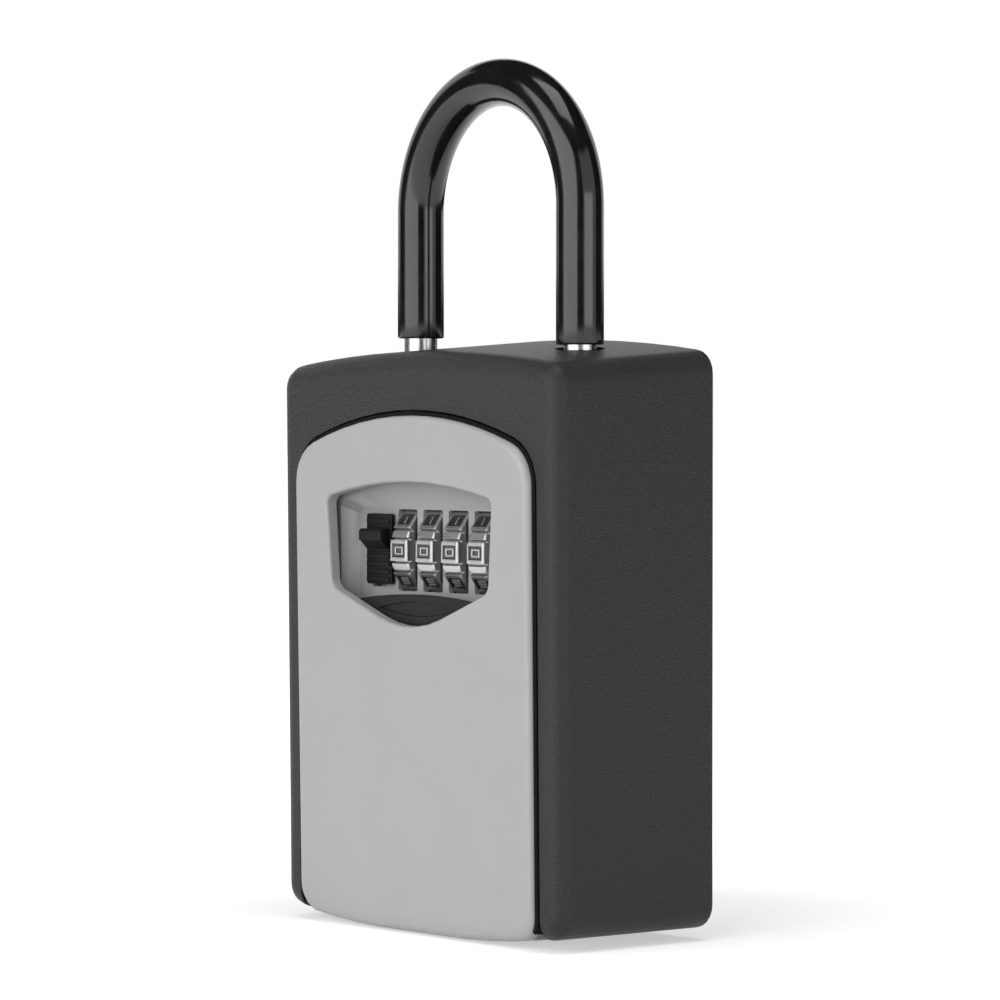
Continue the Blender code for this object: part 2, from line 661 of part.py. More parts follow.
def build_case_shell():
    stations = fillet(CASE_EDGE_RADIUS)
    stations += [(CASE_DEPTH - depth, inset) for depth, inset in reversed(fillet(CASE_BACK_RADIUS))]
    loops = [[case_spot(depth, pair) for pair in case_outline(inset, depth)] for depth, inset in stations]
    case = skin("case_shell", loops)
    recess = arch_outline(DOOR_SIDE_GAP, flared_foot(DOOR_SIDE_GAP, -CUT_PAST, RECESS_FLARE))
    cavity = arch_outline(CAVITY_OFFSET, flat_foot(CAVITY_OFFSET, FLOOR_WALL))
    cut(case, prism("recess", "y", recess, -CUT_PAST, SEAT_DEPTH),
        prism("cavity", "y", cavity, -2 * CUT_PAST, CAVITY_BACK))
    keeper_low = (STEM_X - KEEPER_WIDTH / 2, BOLT_FRONT - RUN_GAP - KEEPER_THICKNESS, KEEPER_HEIGHT)
    keeper_high = (STEM_X + KEEPER_WIDTH / 2, BOLT_FRONT - RUN_GAP, DOOR_TOP_HEIGHT + CUT_PAST)
    add(case, block("keeper", keeper_low, keeper_high))
    hinge = (HINGE_DEPTH, HINGE_HEIGHT)
    pin_reach = HALF_RECESS + HINGE_PIN_BITE + GAP
    cut(case, drill("x", hinge, toe_sweep(), -HALF_RECESS, HALF_RECESS, 2 * ROUND_SIDES),
        drill("x", hinge, lip_sweep(), -HALF_CAVITY, HALF_CAVITY, 2 * ROUND_SIDES),
        drill("x", hinge, HINGE_PIN_RADIUS + GAP, -pin_reach, pin_reach))
    for side in (-1, 1):
        leg = (side * HALF_SPAN, SHACKLE_DEPTH)
        bush_low = case_top(HALF_SPAN, SHACKLE_DEPTH) - BUSH_SUNK - BUSH_LENGTH - GAP
        cut(case, drill("z", leg, LEG_HOLE_RADIUS, SHOULDER_HEIGHT, OVERALL_HEIGHT, ROUND_SIDES),
            drill("z", leg, BUSH_RADIUS + GAP, bush_low, OVERALL_HEIGHT, ROUND_SIDES))
    for x in COVER_SCREW_PLACES:
        hole_top = arch_top(x, CAVITY_OFFSET) + COVER_SCREW_BITE + GAP
        cut(case, drill("z", (x, COVER_SCREW_DEPTH), COVER_SCREW_RADIUS + GAP, SHOULDER_HEIGHT, hole_top))
    return case


def build_bush(name, side):
    high = case_top(HALF_SPAN, SHACKLE_DEPTH) - BUSH_SUNK
    leg = (side * HALF_SPAN, SHACKLE_DEPTH)
    return ring(name, "z", leg, LEG_HOLE_RADIUS, BUSH_RADIUS, high - BUSH_LENGTH, high, ROUND_SIDES)


def build_hinge_pin(name, side):
    ends = (LUG_OUTER_X - LUG_WIDTH - GAP, HALF_RECESS + HINGE_PIN_BITE)
    low, high = sorted(side * end for end in ends)
    return turned(name, "x", (HINGE_DEPTH, HINGE_HEIGHT), [(low, HINGE_PIN_RADIUS), (high, HINGE_PIN_RADIUS)])


def build_lock_cover():
    """Tray under the case roof that the lock bar slides in; its top follows the roof."""
    steps = 10
    span = LOCK_COVER_RIGHT - LOCK_COVER_LEFT
    roof = [LOCK_COVER_RIGHT - span * step / steps for step in range(steps + 1)]
    outline = [(LOCK_COVER_LEFT, LOCK_COVER_HEIGHT), (LOCK_COVER_RIGHT, LOCK_COVER_HEIGHT)]
    outline += [(x, arch_top(x, CAVITY_OFFSET) - GAP) for x in roof]
    cover = prism("shackle_lock_cover", "y", outline, LOCK_COVER_FRONT, LOCK_COVER_BACK)
    floor = LOCK_COVER_HEIGHT + LOCK_COVER_BASE
    roof_past = DOOR_TOP_HEIGHT + CUT_PAST
    half_bar = LOCK_BAR_WIDTH / 2 + RUN_GAP
    button_left = RELEASE_BUTTON_X - RELEASE_BUTTON_WIDTH / 2 - RUN_GAP
    button_right = RELEASE_BUTTON_X + RELEASE_BUTTON_WIDTH / 2 + LOCK_TRAVEL + RUN_GAP
    left = -HALF_SPAN - SHACKLE_RADIUS - 3 * RUN_GAP
    cut(cover,
        block("bar_channel", (left, SHACKLE_DEPTH - half_bar, floor),
              (LOCK_COVER_RIGHT - LOCK_COVER_WALL, SHACKLE_DEPTH + half_bar, roof_past)),
        block("arm_channel", (button_left, SHACKLE_DEPTH, floor),
              (button_right, BUTTON_BACK + RUN_GAP, roof_past)),
        block("button_slot", (button_left, BUTTON_FRONT - RUN_GAP, LOCK_COVER_HEIGHT - CUT_PAST),
              (button_right, BUTTON_BACK + RUN_GAP, roof_past)),
        drill("z", (-HALF_SPAN, SHACKLE_DEPTH), LEG_HOLE_RADIUS, LOCK_COVER_HEIGHT - CUT_PAST, roof_past,
              ROUND_SIDES))
    for x in COVER_SCREW_PLACES:
        cut(cover, drill("z", (x, COVER_SCREW_DEPTH), COVER_SCREW_RADIUS + GAP,
                         LOCK_COVER_HEIGHT - CUT_PAST, roof_past))
    return cover


def build_cover_screw(name, x):
    seat = LOCK_COVER_HEIGHT - GAP
    head = seat - SCREW_HEAD_HEIGHT
    tip = arch_top(x, CAVITY_OFFSET) + COVER_SCREW_BITE
    screw = turned(name, "z", (x, COVER_SCREW_DEPTH),
                   [(head, COVER_SCREW_HEAD_RADIUS), (seat, COVER_SCREW_HEAD_RADIUS),
                    (seat, COVER_SCREW_RADIUS), (tip, COVER_SCREW_RADIUS)])
    half = SCREW_DRIVE_WIDTH / 2
    low = (x - COVER_SCREW_HEAD_RADIUS * 2, COVER_SCREW_DEPTH - half, head - CUT_PAST)
    high = (x + COVER_SCREW_HEAD_RADIUS * 2, COVER_SCREW_DEPTH + half, head + SCREW_DRIVE_DEPTH)
    cut(screw, block("drive", low, high))
    return screw


# Shackle

def bent_path(left_end, right_end, bend_steps=28):
    """(centre x, height, lean) along the U, from the left leg's end over the bend to the right one."""
    path = [(-HALF_SPAN, left_end, math.pi)]
    for step in range(bend_steps + 1):
        angle = math.pi * (1 - step / bend_steps)
        path.append((HALF_SPAN * math.cos(angle), BEND_HEIGHT + HALF_SPAN * math.sin(angle), angle))
    path.append((HALF_SPAN, right_end, 0.0))
    return path


def section(x, height, lean, radius, sides=ROUND_SIDES):
    """Round cross-section of the shackle, square to its path."""
    outward = Vector((math.cos(lean), 0, math.sin(lean)))
    across = Vector((0, 1, 0))
    centre = Vector((x, SHACKLE_DEPTH, height))
    return [centre + outward * point.x + across * point.y for point in circle(radius, sides)]


def build_shackle():
    groove_high = LOCK_GROOVE_LOW + LOCK_GROOVE_HEIGHT
    chamfer = SHACKLE_RADIUS - LEG_TIP / 2
    left = [(SHORT_LEG_END, chamfer), (SHORT_LEG_END + LEG_TIP / 2, SHACKLE_RADIUS),
            (LOCK_GROOVE_LOW, SHACKLE_RADIUS), (LOCK_GROOVE_LOW, LOCK_GROOVE_RADIUS),
            (groove_high, LOCK_GROOVE_RADIUS), (groove_high, SHACKLE_RADIUS)]
    ring_high = RING_HEIGHT + RING_THICKNESS + GAP
    right = [(ring_high, SHACKLE_RADIUS), (ring_high, RING_GROOVE_RADIUS),
             (RING_HEIGHT - GAP, RING_GROOVE_RADIUS), (RING_HEIGHT - GAP, SHACKLE_RADIUS),
             (LONG_LEG_END + LEG_TIP / 2, SHACKLE_RADIUS), (LONG_LEG_END, chamfer)]
    loops = [section(-HALF_SPAN, height, math.pi, radius) for height, radius in left]
    loops += [section(x, height, lean, SHACKLE_RADIUS) for x, height, lean in bent_path(0, 0)[1:-1]]
    loops += [section(HALF_SPAN, height, 0.0, radius) for height, radius in right]
    return skin("shackle", loops)


def build_sleeve():
    path = bent_path(SLEEVE_LEFT_END, SLEEVE_RIGHT_END)
    outer = [section(x, height, lean, SLEEVE_RADIUS) for x, height, lean in path]
    inner = [section(x, height, lean, SLEEVE_BORE_RADIUS) for x, height, lean in reversed(path)]
    return skin("shackle_sleeve", outer + inner, closed=True)


def build_retaining_ring():
    return ring("shackle_retaining_ring", "z", (HALF_SPAN, SHACKLE_DEPTH), RING_GROOVE_RADIUS + GAP,
                RING_RADIUS, RING_HEIGHT, RING_HEIGHT + RING_THICKNESS)


def build_lock_bar():
    half = LOCK_BAR_WIDTH / 2
    arm_left = RELEASE_BUTTON_X - RELEASE_BUTTON_WIDTH / 2
    arm_right = RELEASE_BUTTON_X + RELEASE_BUTTON_WIDTH / 2
    jaw = LOCK_GROOVE_RADIUS + GAP
    near, far = SHACKLE_DEPTH - half, SHACKLE_DEPTH + half
    outline = [(LOCK_BAR_LEFT, near, 0), (LOCK_BAR_RIGHT, near, 0), (LOCK_BAR_RIGHT, far, 0),
               (arm_right, far, 0), (arm_right, BUTTON_BACK, 0), (arm_left, BUTTON_BACK, 0),
               (arm_left, far, 0), (LOCK_BAR_LEFT, far, 0)]
    bar = prism("shackle_lock_bar", "z", rounded(outline), LOCK_BAR_LOW, LOCK_BAR_HIGH)
    cut(bar, drill("z", (LOCK_BAR_LEFT, SHACKLE_DEPTH), jaw, LOCK_BAR_LOW - CUT_PAST,
                   LOCK_BAR_HIGH + CUT_PAST, ROUND_SIDES))
    return bar


def build_release_button():
    left = RELEASE_BUTTON_X - RELEASE_BUTTON_WIDTH / 2
    outline = rectangle(left, BUTTON_FRONT, left + RELEASE_BUTTON_WIDTH, BUTTON_BACK, RELEASE_BUTTON_CORNER)
    high = LOCK_BAR_LOW - GAP
    return prism("release_button", "z", outline, LOCK_COVER_HEIGHT - RELEASE_BUTTON_DROP, high)


def build_release_spring():
    """Plain stand-in for the coil behind the lock bar, at its shortest length."""
    centre = (SHACKLE_DEPTH, LOCK_BAR_LOW + RELEASE_SPRING_RADIUS)
    ends = (LOCK_BAR_RIGHT + LOCK_TRAVEL + GAP, LOCK_COVER_RIGHT - LOCK_COVER_WALL - GAP)
    return turned("release_spring", "x", centre, [(end, RELEASE_SPRING_RADIUS) for end in ends])


# Door

def edge_inset(depth, radius):
    """How far a rounded front edge draws in at a depth behind the front face."""
    if depth >= radius:
        return 0.0
    return radius - math.sqrt(radius**2 - (radius - depth) ** 2)


def door_spot(depth, pair):
    """Point at a depth behind the door's front face, which leans back towards the foot."""
    rise = pair.y / (DOOR_TOP_HEIGHT - DOOR_EDGE_RADIUS)
    lean = DOOR_LEAN * (1 - rise) * (1 - depth / (DOOR_RIM_BACK - DOOR_FRONT))
    return spot("y", DOOR_FRONT + depth + lean, pair)


def build_door_panel():
    depths = [DOOR_EDGE_RADIUS * (1 - math.cos(math.pi / 2 * step / FILLET_STEPS))
              for step in range(FILLET_STEPS + 1)]
    depths += [DOOR_TOE_RADIUS * 0.65, DOOR_RIM_BACK - DOOR_FRONT]
    loops = []
    for depth in depths:
        inset = edge_inset(depth, DOOR_EDGE_RADIUS)
        foot = curved_foot(HALF_DOOR - inset, RUN_GAP + edge_inset(depth, DOOR_TOE_RADIUS),
                           DOOR_FOOT_CORNER - inset)
        loops.append([door_spot(depth, pair) for pair in arch_outline(-inset, foot)])
    door = skin("door_panel", loops)
    pocket = arch_outline(-DOOR_RIM, flat_foot(-DOOR_RIM, POCKET_HEIGHT))
    cut(door, prism("pocket", "y", pocket, DOOR_SKIN_BACK, DOOR_RIM_BACK + CUT_PAST))
    half_lip = HALF_CAVITY - RUN_GAP
    lip = curved_foot(half_lip, RUN_GAP)
    lip_top = RUN_GAP + DOOR_LIP_THICKNESS
    lip += [Vector((half_lip, lip_top)), Vector((-half_lip, lip_top))]
    add(door, prism("lip", "y", lip, DOOR_RIM_BACK - OVERLAP, DOOR_LIP_BACK))
    for side in (-1, 1):
        low, high = sorted((side * LUG_OUTER_X, side * (LUG_OUTER_X - LUG_WIDTH)))
        outline = rounded([(DOOR_SKIN_BACK - OVERLAP, HINGE_HEIGHT - LUG_RADIUS, 0),
                           (HINGE_DEPTH + LUG_RADIUS, HINGE_HEIGHT - LUG_RADIUS, LUG_RADIUS * 0.9),
                           (HINGE_DEPTH + LUG_RADIUS, HINGE_HEIGHT + LUG_RADIUS, LUG_RADIUS * 0.9),
                           (DOOR_SKIN_BACK - OVERLAP, HINGE_HEIGHT + LUG_RADIUS, 0)])
        add(door, prism("lug", "x", outline, low, high))
        cut(door, drill("x", (HINGE_DEPTH, HINGE_HEIGHT), HINGE_PIN_RADIUS + GAP, low - CUT_PAST,
                        high + CUT_PAST))
        rail = SHUTTER_WIDTH / 2 + GAP
        low, high = sorted((side * rail, side * (rail + RAIL_WIDTH)))
        add(door, block("rail", (low, DOOR_SKIN_BACK - OVERLAP, TRAY_FOOT_HEIGHT),
                        (high, TRAY_FRONT - GAP, WINDOW_TOP_HEIGHT)))
        for height in BOSS_HEIGHTS:
            centre = (side * BOSS_X, height)
            add(door, turned("boss", "y", centre, [(DOOR_SKIN_BACK - OVERLAP, BOSS_RADIUS),
                                                   (TRAY_FRONT - GAP, BOSS_RADIUS)]))
            cut(door, drill("y", centre, SCREW_HOLE_RADIUS, DOOR_SKIN_BACK - 2 * OVERLAP, TRAY_FRONT))
    wide = WINDOW_LIP_RADIUS + OVERLAP
    flare = [(-CUT_PAST, wide), (-OVERLAP, wide)] + fillet(WINDOW_LIP_RADIUS)[1:]
    flare.append((DOOR_SKIN + CUT_PAST, 0.0))
    cut(door, skin("window", [[door_spot(depth, pair) for pair in window_outline(grow)]
                              for depth, grow in flare]))
    return door


def tray_outline(grow, draw):
    """Opening of the dial tray: its rim at draw 0 and its floor at draw 1, with a step at the top left."""
    half = WINDOW_WIDTH / 2 + TRAY_RIM_MARGIN + grow - TRAY_SIDE_SLOPE * draw
    head = WINDOW_TOP_HEIGHT + TRAY_RIM_MARGIN
    side = head - WINDOW_ARCH_RISE
    arch = ((WINDOW_WIDTH / 2) ** 2 + WINDOW_ARCH_RISE**2) / (2 * WINDOW_ARCH_RISE)
    low = TRAY_BASIN_HEIGHT - grow + TRAY_SIDE_SLOPE * draw
    step_x = -half + TRAY_STEP_WIDTH
    curve_x = step_x + TRAY_STEP / 2

    def drawn(height):
        return height + (TRAY_FLOOR_TOP - height) * draw + grow

    corners = [(-half, drawn(side - TRAY_STEP / 2), TRAY_STEP_CORNER),
               (step_x, drawn(side - TRAY_STEP / 4), 0)]
    for part in range(7):
        x = curve_x + (half * 0.8 - curve_x) * part / 6
        corners.append((x, drawn(head - arch + math.sqrt(arch**2 - x**2)), 0))
    corners += [(half, drawn(side), TRAY_RIM_CORNER), (half, low, TRAY_FOOT_CORNER),
                (-half, low, TRAY_FOOT_CORNER)]
    return rounded(corners)


def build_dial_tray():
    half = TRAY_WIDTH / 2
    flange = rectangle(-half, TRAY_FOOT_HEIGHT, half, TRAY_HEAD_HEIGHT, TRAY_CORNER)
    tray = prism("dial_tray", "y", flange, TRAY_FRONT, FLANGE_BACK)
    basin = [(TRAY_FRONT + OVERLAP, tray_outline(TRAY_WALL, 0)),
             (TRAY_BACK, tray_outline(TRAY_WALL, 1))]
    add(tray, skin("basin", [[spot("y", depth, pair) for pair in outline] for depth, outline in basin]))
    for x, height in EARS:
        low = (x - EAR_SIZE / 2, FLANGE_BACK - OVERLAP, height - EAR_SIZE / 2)
        high = (x + EAR_SIZE / 2, TRAY_BACK, height + EAR_SIZE / 2)
        add(tray, block("ear_boss", low, high))
    hollow = [(TRAY_FRONT - TRAY_WALL, tray_outline(0, -TRAY_WALL / TRAY_DEPTH)),
              (TRAY_FLOOR, tray_outline(0, 1))]
    cut(tray, skin("hollow", [[spot("y", depth, pair) for pair in outline] for depth, outline in hollow]))
    for centre in DIAL_CENTRES:
        half_slot = DIAL_WIDTH / 2 + RUN_GAP
        slot = rectangle(centre - half_slot, DIAL_HEIGHT - DIAL_SLOT_LENGTH / 2,
                         centre + half_slot, DIAL_HEIGHT + DIAL_SLOT_LENGTH / 2, DIAL_SLOT_CORNER)
        half_relief = DIAL_WIDTH / 2 + GAP
        cut(tray, prism("slot", "y", slot, TRAY_FLOOR - OVERLAP, TRAY_BACK + CUT_PAST),
            drill("x", (DIAL_DEPTH, DIAL_HEIGHT), DIAL_RADIUS + RUN_GAP, centre - half_relief,
                  centre + half_relief, 2 * ROUND_SIDES))
    half_stem = STEM_WIDTH / 2 + RUN_GAP
    stem_slot = rectangle(STEM_X - half_stem, STEM_LOW - LATCH_TRAVEL - RUN_GAP,
                          STEM_X + half_stem, STEM_LOW + STEM_HEIGHT + RUN_GAP)
    cut(tray, prism("stem_slot", "y", stem_slot, TRAY_FLOOR - OVERLAP, TRAY_BACK + CUT_PAST))
    for side in (-1, 1):
        for height in BOSS_HEIGHTS:
            cut(tray, drill("y", (side * BOSS_X, height), SCREW_HOLE_RADIUS, TRAY_FRONT - CUT_PAST,
                            FLANGE_BACK + CUT_PAST))
    for ear in EARS:
        cut(tray, drill("y", ear, SCREW_HOLE_RADIUS, FLANGE_BACK + GAP, TRAY_BACK + CUT_PAST))
    return tray


def build_screw(name, x, height, seat, tip):
    """Small slotted screw driven from behind: its head sits on seat and its shank ends at tip."""
    head = seat + SCREW_HEAD_HEIGHT
    screw = turned(name, "y", (x, height), [(tip, SCREW_RADIUS), (seat, SCREW_RADIUS),
                                            (seat, SCREW_HEAD_RADIUS), (head, SCREW_HEAD_RADIUS)])
    half = SCREW_DRIVE_WIDTH / 2
    cut(screw, block("drive", (x - 2 * SCREW_HEAD_RADIUS, head - SCREW_DRIVE_DEPTH, height - half),
                     (x + 2 * SCREW_HEAD_RADIUS, head + CUT_PAST, height + half)))
    return screw


def housing_profile(inset, front, back):
    """Side view of the housing with its back top edge cut off at 45 degrees."""
    low, high = HOUSING_LOW + inset, HOUSING_HIGH - inset
    slant = HOUSING_BACK + HOUSING_HIGH - HOUSING_CHAMFER - inset * math.sqrt(2)
    return [(front, low), (back, low), (back, slant - back), (slant - high, high), (front, high)]


def build_housing():
    housing = prism("mechanism_housing", "x", housing_profile(0, HOUSING_FRONT, HOUSING_BACK),
                    HOUSING_LEFT, HOUSING_RIGHT)
    inside = housing_profile(HOUSING_WALL, HOUSING_FRONT - CUT_PAST, HOUSING_BACK + OVERLAP)
    cut(housing, prism("inside", "x", inside, HOUSING_INNER_LEFT, HOUSING_INNER_RIGHT))
    half = POST_SIZE / 2
    for x in POST_CENTRES:
        for height in POST_HEIGHTS:
            add(housing, block("post", (x - half, HOUSING_BACK - POST_LENGTH, height - half),
                               (x + half, HOUSING_BACK, height + half)))
            cut(housing, drill("y", (x, height), SCREW_HOLE_RADIUS, HOUSING_BACK - 2 * POST_LENGTH,
                               HOUSING_BACK + CUT_PAST))
    half = EAR_SIZE / 2
    for x, height in EARS:
        low, high = height - half, height + half
        if height < HOUSING_LOW:
            high = HOUSING_LOW + OVERLAP
        else:
            low = HOUSING_HIGH - OVERLAP
        add(housing, block("ear", (x - half, HOUSING_FRONT, low),
                           (x + half, HOUSING_FRONT + HOUSING_WALL, high)))
        cut(housing, drill("y", (x, height), SCREW_HOLE_RADIUS, HOUSING_FRONT - CUT_PAST,
                           HOUSING_FRONT + HOUSING_WALL + CUT_PAST))
    half = BOLT_NOSE_WIDTH / 2 + RUN_GAP
    cut(housing, block("nose_slot", (STEM_X - half, HOUSING_FRONT - CUT_PAST, HOUSING_INNER_HIGH - OVERLAP),
                       (STEM_X + half, BOLT_BACK + RUN_GAP, HOUSING_HIGH + CUT_PAST)))
    cut(housing, drill("x", (DIAL_DEPTH, DIAL_HEIGHT), SPINDLE_RADIUS + GAP, HOUSING_LEFT - CUT_PAST,
                       HOUSING_RIGHT + CUT_PAST))
    return housing


def build_mechanism_cover():
    outline = rectangle(HOUSING_LEFT + GAP, HOUSING_LOW + GAP, HOUSING_RIGHT - GAP, HOUSING_BACK_HIGH - GAP,
                        COVER_CORNER)
    cover = prism("mechanism_cover", "y", outline, PLATE_FRONT, PLATE_BACK)
    holes = [(x, height) for x in POST_CENTRES for height in POST_HEIGHTS] + [(RESET_X, RESET_HEIGHT)]
    for hole in holes:
        cut(cover, drill("y", hole, SCREW_HOLE_RADIUS, PLATE_FRONT - CUT_PAST, PLATE_BACK + CUT_PAST))
    return cover


def build_spindle():
    return turned("dial_spindle", "x", (DIAL_DEPTH, DIAL_HEIGHT),
                  [(HOUSING_LEFT + GAP, SPINDLE_RADIUS), (HOUSING_RIGHT - GAP, SPINDLE_RADIUS)])


def build_spindle_clip():
    low = HOUSING_INNER_LEFT + GAP
    return ring("spindle_clip", "x", (DIAL_DEPTH, DIAL_HEIGHT), CAM_BORE_RADIUS, CLIP_RADIUS, low,
                low + CLIP_THICKNESS)


def build_detent_spring():
    half_depth = DIAL_RADIUS * 0.5
    base = block("detent_spring", (DIALS_LEFT, DIAL_DEPTH - half_depth, DETENT_LOW),
                 (DIALS_RIGHT, DIAL_DEPTH + half_depth, DETENT_LOW + DETENT_LEAF))
    for centre in DIAL_CENTRES:
        half = DIAL_WIDTH / 2 - OVERLAP
        outline = rounded([(DIAL_DEPTH - DETENT_REACH, DETENT_LOW + DETENT_LEAF / 2, 0),
                           (DIAL_DEPTH + DETENT_REACH, DETENT_LOW + DETENT_LEAF / 2, 0),
                           (DIAL_DEPTH, DETENT_TOP, DETENT_LEAF)])
        add(base, prism("bump", "x", outline, centre - half, centre + half))
    return base


# Parts carried by the door that move

def build_shutter():
    half = SHUTTER_WIDTH / 2
    steps = 12
    centre = SHUTTER_TOP_HEIGHT - SHUTTER_ARCH_RADIUS
    outline = [(-half, SHUTTER_FOOT_HEIGHT), (half, SHUTTER_FOOT_HEIGHT)]
    for step in range(steps + 1):
        x = half * (1 - 2 * step / steps)
        outline.append((x, centre + math.sqrt(SHUTTER_ARCH_RADIUS**2 - x**2)))
    shutter = prism("shutter", "y", outline, SHUTTER_FRONT, SHUTTER_BACK)
    leaf_height = SHUTTER_TOP_HEIGHT - GRIP_HEIGHT
    leaf = []
    for sign in (-1, 1):
        for step in range(8):
            part = 2 * step / 8 - 1
            bulge = GRIP_HEIGHT / 2 * (1 - part**2)
            leaf.append((-sign * part * GRIP_LENGTH / 2, leaf_height + sign * bulge))
    cut(shutter, prism("grip", "y", leaf, SHUTTER_FRONT - CUT_PAST, SHUTTER_FRONT + GRIP_DEPTH))
    return shutter


def build_latch_slide():
    back = TRAY_FLOOR - GAP
    front = back - LATCH_PLATE
    half = LATCH_WIDTH / 2
    outline = rectangle(LATCH_X - half, LATCH_LOW, LATCH_X + half, LATCH_HIGH, LATCH_CORNER)
    slide = prism("latch_slide", "y", outline, front, back)
    rib_half = half - OVERLAP
    ribs = int((KNOB_LOW - LATCH_LOW) / LATCH_RIB_PITCH)
    heights = [LATCH_LOW + LATCH_RIB_START + LATCH_RIB_PITCH * rib for rib in range(ribs)]
    heights.append((KNOB_HIGH + LATCH_HIGH) / 2)
    for height in heights:
        add(slide, block("rib", (LATCH_X - rib_half, front - LATCH_RIB, height - LATCH_RIB),
                         (LATCH_X + rib_half, front + LATCH_PLATE / 2, height + LATCH_RIB)))
    knob_front = SHUTTER_BACK + 2 * RUN_GAP
    knob = [(front + LATCH_PLATE / 2, KNOB_LOW), (front + LATCH_PLATE / 2, KNOB_HIGH),
            (knob_front + KNOB_EDGE, KNOB_HIGH), (knob_front, KNOB_HIGH - KNOB_EDGE),
            (knob_front, KNOB_LOW + 2 * KNOB_EDGE)]
    add(slide, prism("knob", "x", knob, LATCH_X - rib_half, LATCH_X + rib_half))
    half = STEM_WIDTH / 2
    add(slide, block("stem", (STEM_X - half, back - LATCH_PLATE / 2, STEM_LOW),
                     (STEM_X + half, TRAY_BACK, STEM_LOW + STEM_HEIGHT)))
    cut(slide, drill("y", (STEM_X, STEM_LOW + STEM_HEIGHT / 2), SCREW_HOLE_RADIUS, TRAY_FLOOR,
                     TRAY_BACK + CUT_PAST))
    return slide


def build_latch_bolt():
    """Bent plate: front leaf with the nose, a web past the dials, and a fence with teeth behind them."""
    nose = BOLT_NOSE_WIDTH / 2
    outline = [(LEAF_LEFT, LEAF_LOW), (WEB_RIGHT, LEAF_LOW), (WEB_RIGHT, LEAF_HIGH),
               (STEM_X + nose, LEAF_HIGH), (STEM_X + nose, BOLT_NOSE_HEIGHT),
               (STEM_X - nose, BOLT_NOSE_HEIGHT), (STEM_X - nose, LEAF_HIGH), (LEAF_LEFT, LEAF_HIGH)]
    bolt = prism("latch_bolt", "y", outline, BOLT_FRONT, BOLT_BACK)
    fence_high = FENCE_LOW + FENCE_HEIGHT
    slot_low = DIAL_HEIGHT - SPINDLE_RADIUS - RUN_GAP
    add(bolt,
        block("web", (WEB_LEFT, BOLT_FRONT + BOLT_PLATE / 2, FENCE_LOW), (WEB_RIGHT, FENCE_BACK, fence_high)),
        block("fence", (WEB_LEFT + BOLT_PLATE / 2, FENCE_FRONT, FENCE_LOW),
              (DIALS_RIGHT + OVERLAP, FENCE_BACK, fence_high)))
    half_slot = SPINDLE_RADIUS + RUN_GAP
    cut(bolt, block("spindle_slot", (WEB_LEFT - CUT_PAST, DIAL_DEPTH - half_slot, slot_low),
                    (WEB_RIGHT + CUT_PAST, DIAL_DEPTH + half_slot, fence_high + CUT_PAST)))
    tooth_height = FENCE_LOW + FENCE_HEIGHT / 2
    for centre in DIAL_CENTRES:
        middle = centre - DIAL_WIDTH / 2 - DIAL_SPACE / 2
        half = FENCE_TOOTH / 2
        low = (middle - half, DIAL_DEPTH + CAM_FLANGE_RADIUS + RUN_GAP, tooth_height - half)
        high = (middle + half, FENCE_FRONT + BOLT_PLATE / 2, tooth_height + half)
        add(bolt, block("tooth", low, high))
    tab = LATCH_SPRING_RADIUS + OVERLAP
    add(bolt, block("spring_tab", (STEM_X - tab, BOLT_FRONT + BOLT_PLATE / 2, LEAF_LOW),
                    (STEM_X + tab, BOLT_BACK + 2 * tab, LEAF_LOW + BOLT_PLATE)))
    cut(bolt, drill("y", (STEM_X, STEM_LOW + STEM_HEIGHT / 2), SCREW_HOLE_RADIUS, BOLT_FRONT - CUT_PAST,
                    BOLT_BACK + CUT_PAST))
    return bolt


def build_latch_spring():
    centre = (STEM_X, BOLT_BACK + GAP + LATCH_SPRING_RADIUS)
    ends = (HOUSING_INNER_LOW + GAP, LEAF_LOW - GAP)
    return turned("latch_spring", "z", centre, [(end, LATCH_SPRING_RADIUS) for end in ends])


def dial_profile():
    """Gear-like outline about the spindle: ten flat digit pads with a narrow ridge between each two."""
    step = 360 / DIAL_DIGITS
    pad_radius = DIAL_RADIUS
    groove_radius = DIAL_RADIUS - GROOVE_DEPTH
    ridge_radius = DIAL_RADIUS - RIDGE_DROP
    flank = (step / 2 - PAD_HALF_ANGLE - RIDGE_HALF_ANGLE) / 3
    ridge_low = step / 2 - RIDGE_HALF_ANGLE
    ridge_high = step / 2 + RIDGE_HALF_ANGLE
    marks = [(-PAD_HALF_ANGLE, pad_radius), (PAD_HALF_ANGLE, pad_radius),
             (PAD_HALF_ANGLE + flank, groove_radius), (ridge_low - flank, groove_radius),
             (ridge_low, ridge_radius), (ridge_high, ridge_radius),
             (ridge_high + flank, groove_radius), (step - PAD_HALF_ANGLE - flank, groove_radius)]
    outline = []
    for digit in range(DIAL_DIGITS):
        for angle, radius in marks:
            turn = math.radians(180 + digit * step + angle)
            outline.append((DIAL_DEPTH + radius * math.cos(turn), DIAL_HEIGHT + radius * math.sin(turn)))
    return outline


def build_dial_wheel(name, centre):
    half = DIAL_WIDTH / 2
    wheel = prism(name, "x", dial_profile(), centre - half, centre + half)
    cut(wheel, drill("x", (DIAL_DEPTH, DIAL_HEIGHT), DIAL_BORE_RADIUS, centre - DIAL_WIDTH,
                     centre + DIAL_WIDTH, ROUND_SIDES))
    return wheel


